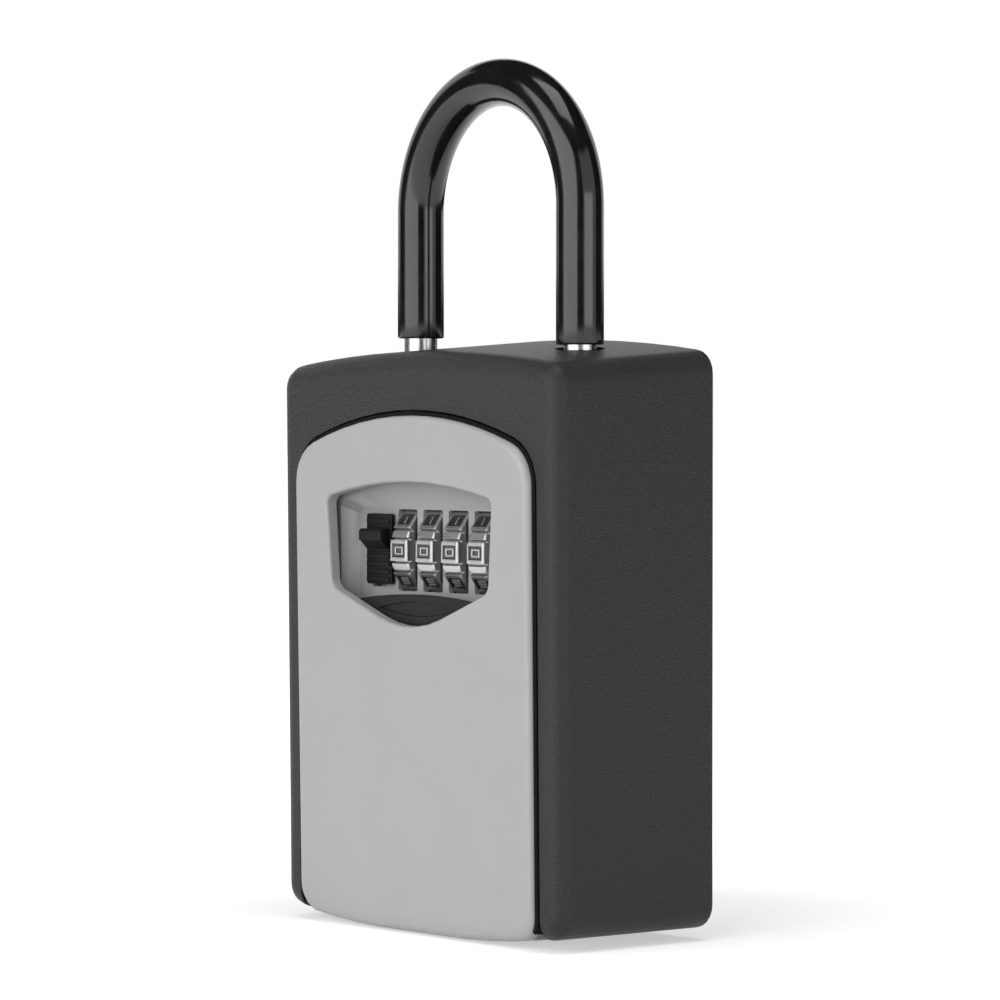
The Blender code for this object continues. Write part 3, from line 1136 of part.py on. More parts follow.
def build_code_cam(name, centre):
    """Sleeve inside a dial, with a gated flange in the space to the dial's left."""
    right = centre + DIAL_WIDTH / 2 - GAP
    neck = centre - DIAL_WIDTH / 2 - GAP
    left = neck - CAM_FLANGE_THICKNESS
    stations = [(left, CAM_BORE_RADIUS), (left, CAM_FLANGE_RADIUS), (neck, CAM_FLANGE_RADIUS),
                (neck, CAM_SLEEVE_RADIUS), (right, CAM_SLEEVE_RADIUS), (right, CAM_BORE_RADIUS)]
    cam = turned(name, "x", (DIAL_DEPTH, DIAL_HEIGHT), stations, closed=True)
    gate = CAM_GATE_WIDTH / 2
    gate_floor = DIAL_DEPTH + CAM_FLANGE_RADIUS - CAM_GATE_WIDTH
    cut(cam, block("gate", (left - CUT_PAST, gate_floor, DIAL_HEIGHT - gate),
                   (neck - GAP, DIAL_DEPTH + 2 * CAM_FLANGE_RADIUS, DIAL_HEIGHT + gate)))
    return cam


def build_reset_lever():
    half = RESET_ARM_WIDTH / 2
    outline = rectangle(RESET_X - half, RESET_HEIGHT - half, RESET_X + RESET_ARM_LENGTH, RESET_HEIGHT + half,
                        half * 0.9)
    front = PLATE_BACK + GAP
    lever = prism("reset_lever", "y", outline, front, front + RESET_ARM_THICKNESS)
    cut(lever, drill("y", (RESET_X, RESET_HEIGHT), SCREW_HOLE_RADIUS, front - CUT_PAST,
                     front + RESET_ARM_THICKNESS + CUT_PAST))
    return lever


def main():
    clear_scene()
    pivots = make_pivots()

    def place(made, body, finish_name):
        finish(made, pivots, body, finish_name)

    place(build_case_shell(), "case", "case_paint")
    for side_name, side in (("left", -1), ("right", 1)):
        place(build_bush(f"shackle_bush_{side_name}", side), "case", "black_plastic")
        place(build_hinge_pin(f"hinge_pin_{side_name}", side), "case", "bright_steel")
    place(build_lock_cover(), "case", "black_plastic")
    for number, x in enumerate(COVER_SCREW_PLACES, start=1):
        place(build_cover_screw(f"lock_cover_screw_{number}", x), "case", "bright_steel")
    place(build_release_spring(), "case", "bright_steel")

    place(build_shackle(), "shackle", "bright_steel")
    place(build_sleeve(), "shackle", "gloss_vinyl")
    place(build_retaining_ring(), "shackle", "bright_steel")
    place(build_lock_bar(), "release", "zinc")
    place(build_release_button(), "release", "black_plastic")

    place(build_door_panel(), "door", "door_paint")
    place(build_dial_tray(), "door", "door_paint")
    corners = [(side * BOSS_X, height) for side in (-1, 1) for height in BOSS_HEIGHTS]
    for number, (x, height) in enumerate(corners, start=1):
        screw = build_screw(f"tray_screw_{number}", x, height, FLANGE_BACK + GAP, DOOR_SKIN_BACK - GAP)
        place(screw, "door", "bright_steel")
    place(build_housing(), "door", "black_plastic")
    for number, (x, height) in enumerate(EARS, start=1):
        seat = HOUSING_FRONT + HOUSING_WALL + GAP
        screw = build_screw(f"housing_screw_{number}", x, height, seat, FLANGE_BACK + 2 * GAP)
        place(screw, "door", "bright_steel")
    place(build_mechanism_cover(), "door", "zinc")
    posts = [(x, height) for x in POST_CENTRES for height in POST_HEIGHTS]
    for number, (x, height) in enumerate(posts, start=1):
        screw = build_screw(f"cover_screw_{number}", x, height, PLATE_BACK + GAP, HOUSING_BACK - POST_LENGTH)
        place(screw, "door", "bright_steel")
    place(build_spindle(), "door", "bright_steel")
    place(build_spindle_clip(), "door", "bright_steel")
    place(build_detent_spring(), "door", "bright_steel")
    place(build_latch_spring(), "door", "bright_steel")
    pivot_seat = PLATE_BACK + GAP + RESET_ARM_THICKNESS + GAP
    pivot_screw = build_screw("reset_pivot_screw", RESET_X, RESET_HEIGHT, pivot_seat, PLATE_FRONT)
    place(pivot_screw, "door", "bright_steel")

    place(build_shutter(), "shutter", "shutter_plastic")
    place(build_latch_slide(), "latch", "black_plastic")
    place(build_latch_bolt(), "latch", "zinc")
    latch_screw = build_screw("latch_screw", STEM_X, STEM_LOW + STEM_HEIGHT / 2, BOLT_BACK + GAP,
                              TRAY_FLOOR + GAP)
    place(latch_screw, "latch", "bright_steel")
    for number, centre in enumerate(DIAL_CENTRES, start=1):
        place(build_dial_wheel(f"dial_wheel_{number}", centre), f"dial_{number}", "dial_chrome")
        place(build_code_cam(f"code_cam_{number}", centre), f"dial_{number}", "brass")
    place(build_reset_lever(), "reset", "zinc")


main()
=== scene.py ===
"""Looks of the key lock box: materials, detailed dials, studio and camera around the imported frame."""

import json
import math

import bmesh
import bpy
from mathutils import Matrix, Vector

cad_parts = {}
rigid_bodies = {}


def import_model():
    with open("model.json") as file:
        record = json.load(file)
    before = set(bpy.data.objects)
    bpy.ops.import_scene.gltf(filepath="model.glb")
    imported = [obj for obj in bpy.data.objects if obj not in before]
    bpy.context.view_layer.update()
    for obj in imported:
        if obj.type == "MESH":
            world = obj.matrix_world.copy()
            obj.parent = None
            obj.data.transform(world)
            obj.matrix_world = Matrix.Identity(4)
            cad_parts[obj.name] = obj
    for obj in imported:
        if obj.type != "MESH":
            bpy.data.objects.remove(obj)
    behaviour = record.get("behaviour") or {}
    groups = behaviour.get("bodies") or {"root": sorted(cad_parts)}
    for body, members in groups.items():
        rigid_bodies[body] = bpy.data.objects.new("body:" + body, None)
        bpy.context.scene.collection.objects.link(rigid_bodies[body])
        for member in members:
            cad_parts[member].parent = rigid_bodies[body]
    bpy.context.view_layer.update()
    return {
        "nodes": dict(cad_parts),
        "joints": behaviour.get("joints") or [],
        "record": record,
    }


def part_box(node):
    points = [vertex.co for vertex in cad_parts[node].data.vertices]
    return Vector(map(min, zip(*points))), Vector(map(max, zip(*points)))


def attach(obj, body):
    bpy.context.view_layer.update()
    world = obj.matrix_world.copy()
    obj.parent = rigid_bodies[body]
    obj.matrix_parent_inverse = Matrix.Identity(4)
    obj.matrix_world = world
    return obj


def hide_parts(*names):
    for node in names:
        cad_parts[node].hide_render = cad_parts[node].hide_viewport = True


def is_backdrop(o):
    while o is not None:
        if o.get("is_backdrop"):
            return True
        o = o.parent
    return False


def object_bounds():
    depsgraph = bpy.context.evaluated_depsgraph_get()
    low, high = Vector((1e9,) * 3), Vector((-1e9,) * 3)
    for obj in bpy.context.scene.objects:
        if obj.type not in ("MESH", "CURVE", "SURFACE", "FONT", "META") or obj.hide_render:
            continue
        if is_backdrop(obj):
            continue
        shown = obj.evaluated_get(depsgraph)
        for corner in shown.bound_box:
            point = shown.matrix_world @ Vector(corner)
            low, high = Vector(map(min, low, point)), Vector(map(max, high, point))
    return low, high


for startup in list(bpy.data.objects):
    bpy.data.objects.remove(startup)
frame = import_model()
nodes = frame["nodes"]
MM = 0.001

# Camera, fitted to the photograph's 1000 x 1000 frame
CAMERA_EYE = Vector((726.34, -583.38, 106.31)) * MM
CAMERA_AIM = Vector((1.14, 2.14, 89.23)) * MM
CAMERA_LENS = 161.3
CAMERA_AZIMUTH = 51.0


# Materials

class Paint:
    """One procedural material: a Principled shader with textures in the object's own coordinates."""

    def __init__(self, name, metallic=0.0, specular=0.5):
        self.material = bpy.data.materials.new(name)
        self.material.use_nodes = True
        tree = self.material.node_tree
        self.nodes = tree.nodes
        self.links = tree.links
        self.shader = self.nodes["Principled BSDF"]
        self.shader.inputs["Metallic"].default_value = metallic
        self.shader.inputs["Specular IOR Level"].default_value = specular
        self.place = self.nodes.new("ShaderNodeTexCoord").outputs["Object"]

    def stretch(self, scale):
        """Object coordinates scaled by axis, for grain that runs one way."""
        mapping = self.nodes.new("ShaderNodeMapping")
        mapping.inputs["Scale"].default_value = scale
        self.links.new(self.place, mapping.inputs["Vector"])
        return mapping.outputs["Vector"]

    def noise(self, size, detail, along=None):
        """Cloudy texture whose features are about size metres across."""
        node = self.nodes.new("ShaderNodeTexNoise")
        node.inputs["Scale"].default_value = 1 / size
        node.inputs["Detail"].default_value = detail
        self.links.new(along or self.place, node.inputs["Vector"])
        return node.outputs["Fac"]

    def pebbles(self, size):
        """Rounded cells about size metres across, high in the middle of each."""
        node = self.nodes.new("ShaderNodeTexVoronoi")
        node.feature = "SMOOTH_F1"
        node.inputs["Scale"].default_value = 1 / size
        node.inputs["Smoothness"].default_value = 0.6
        self.links.new(self.place, node.inputs["Vector"])
        return node.outputs["Distance"]

    def ramp(self, value, low, high, start=0.3, stop=0.7):
        """Blends two colours over part of a texture's range."""
        node = self.nodes.new("ShaderNodeValToRGB")
        node.color_ramp.elements[0].position = start
        node.color_ramp.elements[0].color = (*low, 1)
        node.color_ramp.elements[1].position = stop
        node.color_ramp.elements[1].color = (*high, 1)
        self.links.new(value, node.inputs["Fac"])
        return node.outputs["Color"]

    def spread(self, value, low, high):
        """Maps the middle of a texture's range to values from low to high."""
        node = self.nodes.new("ShaderNodeMapRange")
        node.inputs["From Min"].default_value = 0.3
        node.inputs["From Max"].default_value = 0.7
        node.inputs["To Min"].default_value = low
        node.inputs["To Max"].default_value = high
        self.links.new(value, node.inputs["Value"])
        return node.outputs["Result"]

    def colour(self, value):
        self.links.new(value, self.shader.inputs["Base Color"])

    def roughness(self, value):
        self.links.new(value, self.shader.inputs["Roughness"])

    def bumps(self, *layers):
        """Stacks bump layers of (height, depth in metres, strength)."""
        normal = None
        for height, depth, strength in layers:
            node = self.nodes.new("ShaderNodeBump")
            node.inputs["Distance"].default_value = depth
            node.inputs["Strength"].default_value = strength
            self.links.new(height, node.inputs["Height"])
            if normal is not None:
                self.links.new(normal, node.inputs["Normal"])
            normal = node.outputs["Normal"]
        self.links.new(normal, self.shader.inputs["Normal"])


def grey(value):
    return (value, value, value)


def case_paint():
    paint = Paint("case_paint", specular=0.2)
    cells = paint.pebbles(0.42 * MM)
    clouds = paint.noise(0.35 * MM, 3.0)
    paint.colour(paint.ramp(clouds, grey(0.03), grey(0.042)))
    paint.roughness(paint.spread(clouds, 0.34, 0.48))
    paint.bumps((cells, 0.2 * MM, 0.5), (clouds, 0.14 * MM, 0.4))
    return paint.material


def door_paint(name, tone):
    paint = Paint(name)
    peel = paint.noise(0.9 * MM, 1.0)
    paint.colour(paint.ramp(paint.noise(14 * MM, 3.0), grey(tone * 0.98), grey(tone * 1.015)))
    paint.roughness(paint.spread(paint.noise(2 * MM, 2.0), 0.36, 0.46))
    paint.bumps((peel, 0.02 * MM, 0.4))
    return paint.material


def vinyl():
    paint = Paint("gloss_vinyl")
    paint.colour(paint.ramp(paint.noise(9 * MM, 3.0), grey(0.006), grey(0.011)))
    paint.roughness(paint.spread(paint.noise(3 * MM, 2.0), 0.1, 0.17))
    long_way = paint.stretch((1, 1, 0.12))
    paint.bumps((paint.noise(2.6 * MM, 1.0, along=long_way), 0.03 * MM, 0.5))
    return paint.material


def steel(name, tone, low, high, across=(1, 1, 14)):
    paint = Paint(name, metallic=1.0)
    grain = paint.noise(1.5 * MM, 3.0, along=paint.stretch(across))
    paint.colour(paint.ramp(grain, grey(tone * 0.93), grey(tone)))
    paint.roughness(paint.spread(grain, low, high))
    paint.bumps((grain, 0.01 * MM, 0.1))
    return paint.material


def moulding(name, tone, low, high, grain_size, specular):
    paint = Paint(name, specular=specular)
    grain = paint.noise(grain_size, 2.0)
    paint.colour(paint.ramp(paint.noise(5 * MM, 3.0), grey(tone * 0.85), grey(tone * 1.15)))
    paint.roughness(paint.spread(grain, low, high))
    paint.bumps((grain, 0.02 * MM, 0.5))
    return paint.material


def zinc():
    paint = Paint("zinc_plate", metallic=1.0)
    flakes = paint.pebbles(2.2 * MM)
    paint.colour(paint.ramp(flakes, grey(0.36), grey(0.5), 0.1, 0.6))
    paint.roughness(paint.spread(paint.noise(1.2 * MM, 3.0), 0.32, 0.48))
    paint.bumps((flakes, 0.01 * MM, 0.2))
    return paint.material


def brass():
    paint = Paint("turned_brass", metallic=1.0)
    rings = paint.noise(0.6 * MM, 2.0, along=paint.stretch((9, 1, 1)))
    paint.colour(paint.ramp(rings, (0.52, 0.36, 0.14), (0.68, 0.5, 0.22)))
    paint.roughness(paint.spread(rings, 0.24, 0.36))
    paint.bumps((rings, 0.01 * MM, 0.3))
    return paint.material


CASE = case_paint()
DOOR = door_paint("door_paint", 0.458)
# The tray is the door's own grey; its lower tone is painted shade for the recess behind the door's window
TRAY_PAINTED_SHADE = door_paint("tray_paint_painted_shade", 0.38)
VINYL = vinyl()
STEEL = steel("bright_steel", 0.48, 0.2, 0.3)
CHROME = steel("dial_chrome", 0.5, 0.32, 0.44, (10, 1, 1))
# Darker chrome for the pad recesses: painted shade and dark reflection on what is the wheel's one chrome
# finish
DIAL_RECESS_PAINTED_SHADE = steel("dial_recess_painted_shade", 0.13, 0.26, 0.38, (10, 1, 1))
# Darker chrome for the wheel ends and bore: painted shade between neighbouring wheels
DIAL_SIDE_PAINTED_SHADE = steel("dial_side_painted_shade", 0.3, 0.34, 0.48, (1, 6, 6))
BLACK = moulding("black_plastic", 0.006, 0.34, 0.46, 0.5 * MM, 0.22)
RUBBER = moulding("seal_rubber", 0.004, 0.6, 0.75, 0.3 * MM, 0.12)
SHUTTER = moulding("shutter_plastic", 0.012, 0.4, 0.52, 0.6 * MM, 0.2)
ZINC = zinc()
BRASS = brass()

SLOT_MATERIALS = {
    "case_paint": CASE,
    "door_paint": DOOR,
    "bright_steel": STEEL,
    "dial_chrome": CHROME,
    "gloss_vinyl": VINYL,
    "black_plastic": BLACK,
    "shutter_plastic": SHUTTER,
    "zinc": ZINC,
    "brass": BRASS,
}


def keep_mesh(name, mesh, *materials):
    bmesh.ops.recalc_face_normals(mesh, faces=mesh.faces)
    data = bpy.data.meshes.new(name)
    mesh.to_mesh(data)
    mesh.free()
    for material in materials:
        data.materials.append(material)
    piece = bpy.data.objects.new(name, data)
    bpy.context.scene.collection.objects.link(piece)
    return piece


# CAD nodes

def dress(node, material):
    piece = nodes[node]
    piece.data.materials.clear()
    piece.data.materials.append(material)
    for face in piece.data.polygons:
        face.use_smooth = True


EDGE_WIDTHS = {"latch_slide": 0.1 * MM, "shutter": 0.12 * MM}
WELD_REACH = 0.001 * MM
FLAT_ANGLE = 0.3
SHARP_ANGLE = 35.0
TRAY_SHARP_ANGLE = 70.0


def soften(node, width, angle):
    """Joins a node's facets, rounds or splits its sharp edges and evens out its shading."""
    piece = nodes[node]
    weld = piece.modifiers.new("weld", "WELD")
    weld.merge_threshold = WELD_REACH
    flat = piece.modifiers.new("flat", "DECIMATE")
    flat.decimate_type = "DISSOLVE"
    flat.angle_limit = math.radians(FLAT_ANGLE)
    if width > 0:
        bevel = piece.modifiers.new("edge", "BEVEL")
        bevel.width = width
        bevel.segments = 2
        bevel.limit_method = "ANGLE"
        bevel.angle_limit = math.radians(angle)
    else:
        split = piece.modifiers.new("split", "EDGE_SPLIT")
        split.split_angle = math.radians(angle)
    even = piece.modifiers.new("even", "WEIGHTED_NORMAL")
    even.keep_sharp = True


for entry in frame["record"]["subparts"]:
    node = entry["node"]
    dress(node, SLOT_MATERIALS[entry["material_slot"]])
    sharp = TRAY_SHARP_ANGLE if node == "dial_tray" else SHARP_ANGLE
    soften(node, EDGE_WIDTHS.get(node, 0.0), sharp)
# The tray takes the darker grey, which is painted shade of its recess
dress("dial_tray", TRAY_PAINTED_SHADE)


# Shackle sleeve

SLEEVE_WALL = 1.1 * MM
SLEEVE_LEFT_END = 123.2 * MM
SLEEVE_EDGE = 0.35 * MM
SLEEVE_SIDES = 48
BEND_STEPS = 56
LEG_STEPS = 6
EDGE_STEPS = 4


def build_sleeve():
    """Smooth sleeve along the same U as its node, with rounded ends."""
    low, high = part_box("shackle_sleeve")
    radius = (high.y - low.y) / 2
    middle = (high.y + low.y) / 2
    half_span = high.x - radius
    bend = high.z - radius - half_span
    path = []
    for step in range(LEG_STEPS):
        path.append((-half_span, SLEEVE_LEFT_END + (bend - SLEEVE_LEFT_END) * step / LEG_STEPS, math.pi))
    for step in range(BEND_STEPS + 1):
        angle = math.pi * (1 - step / BEND_STEPS)
        path.append((half_span * math.cos(angle), bend + half_span * math.sin(angle), angle))
    for step in range(1, LEG_STEPS + 1):
        path.append((half_span, bend + (low.z - bend) * step / LEG_STEPS, 0.0))
    first, last = path[0], path[-1]
    outer = [(*place, radius) for place in path[1:-1]]
    bore = radius - SLEEVE_WALL
    rounds = [math.pi / 2 * step / EDGE_STEPS for step in range(EDGE_STEPS + 1)]
    corner = [(SLEEVE_EDGE * (1 - math.sin(turn)), radius - SLEEVE_EDGE * (1 - math.cos(turn)))
              for turn in rounds]
    start = [(first[0], first[1] + lift, first[2], reach) for lift, reach in reversed(corner)]
    stop = [(last[0], last[1] + lift, last[2], reach) for lift, reach in corner]
    inside = [(*place, bore) for place in reversed(path)]
    mesh = bmesh.new()
    rings = []
    for x, height, lean, reach in start + outer + stop + inside:
        away = Vector((math.cos(lean), 0, math.sin(lean)))
        ring = []
        for side in range(SLEEVE_SIDES):
            turn = math.tau * side / SLEEVE_SIDES
            point = Vector((x, middle, height)) + away * (reach * math.cos(turn))
            ring.append(mesh.verts.new(point + Vector((0, reach * math.sin(turn), 0))))
        rings.append(ring)
    for near, far in zip(rings, rings[1:] + rings[:1]):
        for i in range(SLEEVE_SIDES):
            j = (i + 1) % SLEEVE_SIDES
            mesh.faces.new((near[i], near[j], far[j], far[i]))
    sleeve = keep_mesh("sleeve", mesh, VINYL)
    for face in sleeve.data.polygons:
        face.use_smooth = True
    return sleeve


sleeve = build_sleeve()
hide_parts("shackle_sleeve")
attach(sleeve, "shackle")


# Door seal

DOOR_HALF = 38.8 * MM
DOOR_TOP = 106.8 * MM
DOOR_ARCH = 100 * MM
DOOR_SHOULDER = 9 * MM
SEAL_INNER = 0.04 * MM
SEAL_OUTER = 0.85 * MM
SEAL_FOOT = 6.3 * MM
DOOR_CORNER = 4 * MM
CORNER_TURN = math.radians(35)
SEAL_PROUD = 0.35 * MM
SEAL_ROUND = 0.2 * MM
CORNER_STEPS = 5
SIDE_STEPS = 9
SHOULDER_STEPS = 8
ARCH_STEPS = 12
CASE_FRONT = -20.2 * MM
CASE_LEAN = 1.2 * MM
CASE_TOP = 121 * MM
SEAT = 2.8 * MM


def door_outline(offset):
    """Points round the door's bottom right corner, up its side, over its arch and down its left side."""
    shoulder = DOOR_SHOULDER + offset
    centre_x = DOOR_HALF - DOOR_SHOULDER
    arch_z = DOOR_TOP - DOOR_ARCH
    reach = DOOR_ARCH - DOOR_SHOULDER
    centre_z = arch_z + math.sqrt(reach**2 - centre_x**2)
    tangent = math.atan2(centre_z - arch_z, centre_x)
    corner = DOOR_CORNER + offset
    right = []
    for step in range(CORNER_STEPS):
        turn = CORNER_TURN * (step / CORNER_STEPS - 1)
        right.append((DOOR_HALF - DOOR_CORNER + corner * math.cos(turn), SEAL_FOOT + corner * math.sin(turn)))
    for step in range(SIDE_STEPS):
        right.append((DOOR_HALF + offset, SEAL_FOOT + (centre_z - SEAL_FOOT) * step / SIDE_STEPS))
    for step in range(SHOULDER_STEPS + 1):
        turn = tangent * step / SHOULDER_STEPS
        right.append((centre_x + shoulder * math.cos(turn), centre_z + shoulder * math.sin(turn)))
    for step in range(1, ARCH_STEPS + 1):
        turn = tangent + (math.pi / 2 - tangent) * step / ARCH_STEPS
        right.append(((DOOR_ARCH + offset) * math.cos(turn), arch_z + (DOOR_ARCH + offset) * math.sin(turn)))
    return right + [(-x, z) for x, z in reversed(right[:-1])]


def build_seal():
    """Black rubber bead along the door's sides and top, with a chamfered outer edge."""
    mesh = bmesh.new()
    inner = door_outline(SEAL_INNER)
    middle = door_outline(SEAL_OUTER - SEAL_ROUND)
    outer = door_outline(SEAL_OUTER)
    rings = []
    for near, mid, far in zip(inner, middle, outer):
        front = CASE_FRONT + CASE_LEAN * (1 - near[1] / CASE_TOP) - SEAL_PROUD
        back = CASE_FRONT + SEAT
        section = [(near, front), (mid, front), (far, front + SEAL_ROUND), (far, back), (near, back)]
        rings.append([mesh.verts.new((place[0], y, place[1])) for place, y in section])
    for first, last in zip(rings, rings[1:]):
        for i in range(len(first)):
            j = (i + 1) % len(first)
            mesh.faces.new((first[i], first[j], last[j], last[i]))
    mesh.faces.new(rings[0])
    mesh.faces.new(rings[-1])
    return keep_mesh("door_seal", mesh, RUBBER)


seal = build_seal()
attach(seal, "door")


# Thumb ramp under the latch's knob

KNOB_LEFT = -22.35 * MM
KNOB_RIGHT = -14.95 * MM
KNOB_TIP = -16.8 * MM
KNOB_ROOT = -14.2 * MM
RAMP_HIGH = 80.9 * MM
RAMP_LOW = 78.2 * MM
RAMP_EDGE = 0.12 * MM


def build_ramp():
    """Wedge that slopes back from the knob's lower edge."""
    mesh = bmesh.new()
    profile = [(KNOB_TIP, RAMP_HIGH), (KNOB_ROOT, RAMP_HIGH), (KNOB_ROOT, RAMP_LOW)]
    sides = [[mesh.verts.new((x, y, z)) for y, z in profile] for x in (KNOB_LEFT, KNOB_RIGHT)]
    for side in sides:
        mesh.faces.new(side)
    for i in range(len(profile)):
        j = (i + 1) % len(profile)
        mesh.faces.new((sides[0][i], sides[0][j], sides[1][j], sides[1][i]))
    piece = keep_mesh("latch_ramp", mesh, BLACK)
    bevel = piece.modifiers.new("edge", "BEVEL")
    bevel.width = RAMP_EDGE
    bevel.segments = 2
    return piece


ramp = build_ramp()
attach(ramp, "latch")


# Dials

DIAL_STEP = 36.0
PAD_HALF = 11.2
RECESS_TOP = 7.3
RECESS_FLOOR = 6.8
GROOVE_NEAR = 12.3
GROOVE_FAR = 13.3
RIDGE_HALF = 3.6
GROOVE_DEPTH = 1.1 * MM
RIDGE_DROP = 0.25 * MM
RECESS_DEPTH = 0.42 * MM
SIDE_CHAMFER = 0.28 * MM
SIDE_DROP = 0.3 * MM
FRAME_TOP = 0.72 * MM
FRAME_FLOOR = 0.84 * MM
BORE = 4.8 * MM
WHEEL_EDGE = 0.07 * MM
WHEEL_SHARP_ANGLE = 25
DIGITS = 10
DIGIT_WIDTH = 2.7 * MM
DIGIT_HEIGHT = 1.75 * MM
DIGIT_STROKE = 0.42 * MM
DIGIT_RISE = 0.34 * MM
DIGIT_SINK = 0.05 * MM
DIGIT_EDGE = 0.12 * MM
DIGIT_ROWS = {
    0: ("111", "101", "101", "101", "111"),
    1: ("010", "010", "010", "010", "010"),
    2: ("111", "001", "111", "100", "111"),
    3: ("111", "001", "111", "001", "111"),
    4: ("101", "101", "111", "001", "001"),
    5: ("111", "100", "111", "001", "111"),
    6: ("111", "100", "111", "101", "111"),
    7: ("111", "001", "001", "001", "001"),
    8: ("111", "101", "111", "101", "111"),
    9: ("111", "101", "111", "001", "111"),
}


def dial_columns():
    """(angle, radius drop or None on the flat pad, in the recess) around one digit's share of the wheel."""
    middle = DIAL_STEP / 2
    return [(-PAD_HALF, None, False), (-RECESS_TOP, None, False), (-RECESS_FLOOR, None, True),
            (RECESS_FLOOR, None, True), (RECESS_TOP, None, False), (PAD_HALF, None, False),
            (GROOVE_NEAR, GROOVE_DEPTH, False), (GROOVE_FAR, GROOVE_DEPTH, False),
            (middle - RIDGE_HALF, RIDGE_DROP, False), (middle + RIDGE_HALF, RIDGE_DROP, False),
            (DIAL_STEP - GROOVE_FAR, GROOVE_DEPTH, False), (DIAL_STEP - GROOVE_NEAR, GROOVE_DEPTH, False)]


def outward(angle):
    """Direction from a dial's axis; 0 faces the front and positive angles go up."""
    turn = math.radians(angle)
    return Vector((0, -math.cos(turn), math.sin(turn)))


def build_wheel(name, axis, low, high, radius):
    """Wheel between two x places, with a recessed pad for each digit and a ridge between pads."""
    mesh = bmesh.new()
    columns = [(digit * DIAL_STEP + angle, angle, drop, recess)
               for digit in range(DIGITS) for angle, drop, recess in dial_columns()]
    stations = [(low, True, False), (low + SIDE_CHAMFER, False, False), (low + FRAME_TOP, False, False),
                (low + FRAME_FLOOR, False, True), (high - FRAME_FLOOR, False, True),
                (high - FRAME_TOP, False, False), (high - SIDE_CHAMFER, False, False), (high, True, False)]
    flat = radius * math.cos(math.radians(PAD_HALF))
    rings = []
    for x, end, inner in stations:
        row = []
        for turn, angle, drop, recess in columns:
            reach = flat / math.cos(math.radians(angle)) if drop is None else radius - drop
            if end:
                reach -= SIDE_DROP
            if recess and inner:
                reach -= RECESS_DEPTH
            point = axis + outward(turn) * reach
            row.append(mesh.verts.new((x, point.y, point.z)))
        rings.append(row)
    for x in (high, low):
        row = []
        for turn, _, _, _ in columns:
            point = axis + outward(turn) * BORE
            row.append(mesh.verts.new((x, point.y, point.z)))
        rings.append(row)
    count = len(columns)
    for near, far in zip(rings, rings[1:] + rings[:1]):
        for i in range(count):
            j = (i + 1) % count
            mesh.faces.new((near[i], near[j], far[j], far[i]))
    mesh.faces.ensure_lookup_table()
    per_digit = len(dial_columns())
    # Recess faces take the second material, the painted shade of the pad recesses
    for station in range(2, 5):
        for i in range(count):
            if i % per_digit in (1, 2, 3):
                mesh.faces[station * count + i].material_index = 1
    # Ends and bore take the third material, the painted shade between the wheels
    for station in (len(stations) - 1, len(rings) - 1):
        for i in range(count):
            mesh.faces[station * count + i].material_index = 2
    wheel = keep_mesh(name, mesh, CHROME, DIAL_RECESS_PAINTED_SHADE, DIAL_SIDE_PAINTED_SHADE)
    bevel = wheel.modifiers.new("edge", "BEVEL")
    bevel.width = WHEEL_EDGE
    bevel.segments = 2
    bevel.limit_method = "ANGLE"
    bevel.angle_limit = math.radians(WHEEL_SHARP_ANGLE)
    for face in wheel.data.polygons:
        face.use_smooth = True
    even = wheel.modifiers.new("even", "WEIGHTED_NORMAL")
    even.keep_sharp = True
    return wheel


def digit_cells(digit):
    """Places of the column and row lines between one digit's 3 x 5 cells, in its own plane."""
    half = DIGIT_WIDTH / 2
    xs = [-half, -half + DIGIT_STROKE, half - DIGIT_STROKE, half]
    if digit == 1:
        xs = [-half, -DIGIT_STROKE / 2, DIGIT_STROKE / 2, half]
    gap = (DIGIT_HEIGHT - 3 * DIGIT_STROKE) / 2
    zs = [DIGIT_HEIGHT / 2]
    for height in (DIGIT_STROKE, gap, DIGIT_STROKE, gap, DIGIT_STROKE):
        zs.append(zs[-1] - height)
    return xs, zs


def build_digits(name, axis, middle, floor):
    """All ten digits of a wheel, raised from the floors of its recesses."""
    mesh = bmesh.new()
    for digit, rows in DIGIT_ROWS.items():
        xs, zs = digit_cells(digit)
        out = outward(digit * DIAL_STEP)
        up = outward(digit * DIAL_STEP + 90)
        corners = {}

        def corner(column, row, level):
            key = (column, row, level)
            if key not in corners:
                reach = floor - DIGIT_SINK if level == 0 else floor + DIGIT_RISE
                point = axis + out * reach + up * zs[row]
                corners[key] = mesh.verts.new((middle + xs[column], point.y, point.z))
            return corners[key]

        def filled(column, row):
            return 0 <= column < 3 and 0 <= row < 5 and rows[row][column] == "1"

        for row in range(5):
            for column in range(3):
                if not filled(column, row):
                    continue
                square = [(column, row), (column + 1, row), (column + 1, row + 1), (column, row + 1)]
                for level in (0, 1):
                    mesh.faces.new([corner(*place, level) for place in square])
                sides = [(column, row - 1), (column + 1, row), (column, row + 1), (column - 1, row)]
                for index, beside in enumerate(sides):
                    if filled(*beside):
                        continue
                    first, last = square[index], square[(index + 1) % 4]
                    mesh.faces.new([corner(*first, 0), corner(*last, 0), corner(*last, 1), corner(*first, 1)])
    digits = keep_mesh(name, mesh, CHROME)
    bevel = digits.modifiers.new("edge", "BEVEL")
    bevel.width = DIGIT_EDGE
    bevel.segments = 3
    bevel.limit_method = "ANGLE"
    return digits


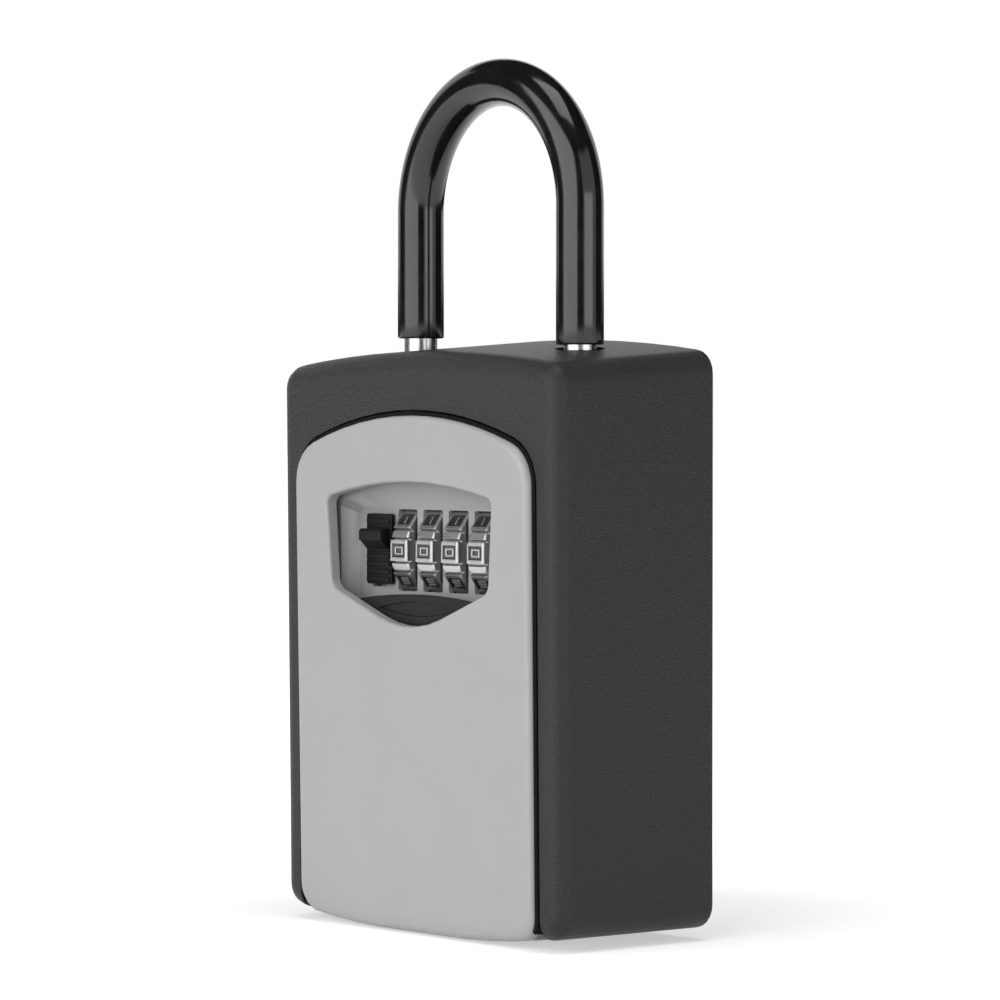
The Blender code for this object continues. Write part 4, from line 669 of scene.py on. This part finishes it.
for joint in frame["joints"]:
    if not joint["name"].startswith("dial_"):
        continue
    body = joint["child"]
    number = body.split("_")[1]
    node = f"dial_wheel_{number}"
    low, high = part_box(node)
    axis = Vector(joint["pos_m"])
    radius = (high.z - low.z) / 2
    wheel = build_wheel(f"{body}_wheel", axis, low.x, high.x, radius)
    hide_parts(node)
    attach(wheel, body)
    floor = radius * math.cos(math.radians(PAD_HALF)) - RECESS_DEPTH
    digits = build_digits(f"{body}_digits", axis, (low.x + high.x) / 2, floor)
    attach(digits, body)


# Studio

MIDDLE = Vector((0, 0, 90 * MM))
FLOOR_TONE = 0.82
FLOOR_DROP = 0.05 * MM
FLOOR_SEGMENTS = 96
NEAR_LIFT = 0.5
CARD_TONE = 0.01
CARD_ROUGHNESS = 0.9
CARD_SEGMENTS = 48
FLAG_STEPS = 24


def from_camera(azimuth, elevation, distance):
    """Point round the object's middle; azimuth counts from the camera, positive to its right."""
    turn = math.radians(CAMERA_AZIMUTH + azimuth)
    rise = math.radians(elevation)
    direction = Vector((math.sin(turn) * math.cos(rise), -math.cos(turn) * math.cos(rise), math.sin(rise)))
    return MIDDLE + direction * distance


def softbox(name, azimuth, elevation, distance, width, height, radiance):
    """Rectangular area lamp that faces the object, with its brightness as a radiance."""
    data = bpy.data.lights.new(name, "AREA")
    data.shape = "RECTANGLE"
    data.size = width
    data.size_y = height
    data.energy = radiance * math.pi * width * height
    lamp = bpy.data.objects.new(name, data)
    bpy.context.scene.collection.objects.link(lamp)
    lamp.location = from_camera(azimuth, elevation, distance)
    toward = MIDDLE - lamp.location
    lamp.rotation_euler = toward.to_track_quat("-Z", "Y").to_euler()


def backdrop_rays(tree):
    """1 for rays that show the background: from the camera, or through gloss or glass."""
    path = tree.nodes.new("ShaderNodeLightPath")
    first = tree.nodes.new("ShaderNodeMath")
    first.operation = "MAXIMUM"
    tree.links.new(path.outputs["Is Camera Ray"], first.inputs[0])
    tree.links.new(path.outputs["Is Glossy Ray"], first.inputs[1])
    both = tree.nodes.new("ShaderNodeMath")
    both.operation = "MAXIMUM"
    tree.links.new(first.outputs["Value"], both.inputs[0])
    tree.links.new(path.outputs["Is Transmission Ray"], both.inputs[1])
    return both.outputs["Value"]


def make_world(ambient):
    """White backdrop that lights the object by ambient only."""
    world = bpy.data.worlds.new("studio")
    bpy.context.scene.world = world
    world.use_nodes = True
    tree = world.node_tree
    lit = tree.nodes["Background"]
    lit.inputs["Color"].default_value = (1, 1, 1, 1)
    lit.inputs["Strength"].default_value = ambient
    shown = tree.nodes.new("ShaderNodeBackground")
    shown.inputs["Color"].default_value = (1, 1, 1, 1)
    shown.inputs["Strength"].default_value = 1.0
    mix = tree.nodes.new("ShaderNodeMixShader")
    tree.links.new(backdrop_rays(tree), mix.inputs["Fac"])
    tree.links.new(lit.outputs["Background"], mix.inputs[1])
    tree.links.new(shown.outputs["Background"], mix.inputs[2])
    tree.links.new(mix.outputs["Shader"], tree.nodes["World Output"].inputs["Surface"])


def make_floor(radius, near, far):
    """Pale floor that turns as white as the backdrop, for the camera, between two distances."""
    mesh = bmesh.new()
    bmesh.ops.create_circle(mesh, cap_ends=True, segments=FLOOR_SEGMENTS, radius=radius)
    floor = keep_mesh("floor", mesh)
    material = bpy.data.materials.new("floor")
    material.use_nodes = True
    tree = material.node_tree
    tree.nodes.remove(tree.nodes["Principled BSDF"])
    diffuse = tree.nodes.new("ShaderNodeBsdfDiffuse")
    diffuse.inputs["Color"].default_value = (*grey(FLOOR_TONE), 1)
    glow = tree.nodes.new("ShaderNodeEmission")
    place = tree.nodes.new("ShaderNodeTexCoord")
    reach = tree.nodes.new("ShaderNodeVectorMath")
    reach.operation = "LENGTH"
    tree.links.new(place.outputs["Object"], reach.inputs[0])
    lift = tree.nodes.new("ShaderNodeMapRange")
    lift.interpolation_type = "SMOOTHSTEP"
    lift.inputs["From Min"].default_value = near
    lift.inputs["From Max"].default_value = far
    lift.inputs["To Min"].default_value = NEAR_LIFT
    lift.inputs["To Max"].default_value = 1.0
    tree.links.new(reach.outputs["Value"], lift.inputs["Value"])
    scale = tree.nodes.new("ShaderNodeMath")
    scale.operation = "MULTIPLY"
    tree.links.new(lift.outputs["Result"], scale.inputs[1])
    tree.links.new(backdrop_rays(tree), scale.inputs[0])
    tree.links.new(scale.outputs["Value"], glow.inputs["Strength"])
    both = tree.nodes.new("ShaderNodeAddShader")
    tree.links.new(diffuse.outputs["BSDF"], both.inputs[0])
    tree.links.new(glow.outputs["Emission"], both.inputs[1])
    tree.links.new(both.outputs["Shader"], tree.nodes["Material Output"].inputs["Surface"])
    floor.data.materials.append(material)
    floor.location.z = -FLOOR_DROP
    floor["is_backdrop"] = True


def blacken(card):
    """Makes a card black velvet that only gloss sees."""
    material = bpy.data.materials.new(card.name)
    material.use_nodes = True
    shader = material.node_tree.nodes["Principled BSDF"]
    shader.inputs["Base Color"].default_value = (*grey(CARD_TONE), 1)
    shader.inputs["Roughness"].default_value = CARD_ROUGHNESS
    card.data.materials.append(material)
    card.visible_camera = False
    card.visible_diffuse = False
    card.visible_shadow = False
    card.visible_transmission = False
    card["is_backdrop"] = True


def ceiling_flag(height, radius):
    """Dark card overhead that only gloss sees."""
    mesh = bmesh.new()
    bmesh.ops.create_circle(mesh, cap_ends=True, segments=CARD_SEGMENTS, radius=radius)
    card = keep_mesh("ceiling_flag", mesh)
    card.location.z = height
    blacken(card)


def flag(name, start, stop, distance, low, high):
    """Dark curved card that only gloss sees, from one azimuth to another, as studios set round gloss."""
    mesh = bmesh.new()
    rows = []
    for height in (low, high):
        row = []
        for step in range(FLAG_STEPS + 1):
            point = from_camera(start + (stop - start) * step / FLAG_STEPS, 0, distance)
            row.append(mesh.verts.new((point.x, point.y, height)))
        rows.append(row)
    for i in range(FLAG_STEPS):
        mesh.faces.new((rows[0][i], rows[0][i + 1], rows[1][i + 1], rows[1][i]))
    blacken(keep_mesh(name, mesh))


make_world(ambient=0.16)
make_floor(radius=12.0, near=0.06, far=0.22)
softbox("key_left", azimuth=-48, elevation=16, distance=1.5, width=2.2, height=1.5, radiance=2.1)
softbox("fill_right", azimuth=42, elevation=6, distance=1.5, width=1.1, height=0.32, radiance=2.4)
softbox("top_light", azimuth=10, elevation=80, distance=1.4, width=0.9, height=0.9, radiance=3.1)
flag("back_low_flag", start=80, stop=270, distance=2.2, low=0.0, high=0.2)
flag("back_high_flag", start=80, stop=270, distance=2.2, low=1.5, high=2.6)
flag("back_left_flag", start=235, stop=270, distance=2.2, low=0.2, high=1.5)
flag("back_right_flag", start=80, stop=125, distance=2.2, low=0.2, high=1.5)
ceiling_flag(height=2.6, radius=3.2)
flag("camera_flag", start=-14, stop=16, distance=2.4, low=0.0, high=2.6)

camera_data = bpy.data.cameras.new("camera")
camera_data.lens = CAMERA_LENS
camera = bpy.data.objects.new("camera", camera_data)
bpy.context.scene.collection.objects.link(camera)
camera.location = CAMERA_EYE
camera.rotation_euler = (CAMERA_AIM - CAMERA_EYE).to_track_quat("-Z", "Y").to_euler()
bpy.context.scene.camera = camera
bpy.context.scene.view_settings.view_transform = "Standard"

bpy.context.view_layer.update()
low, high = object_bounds()
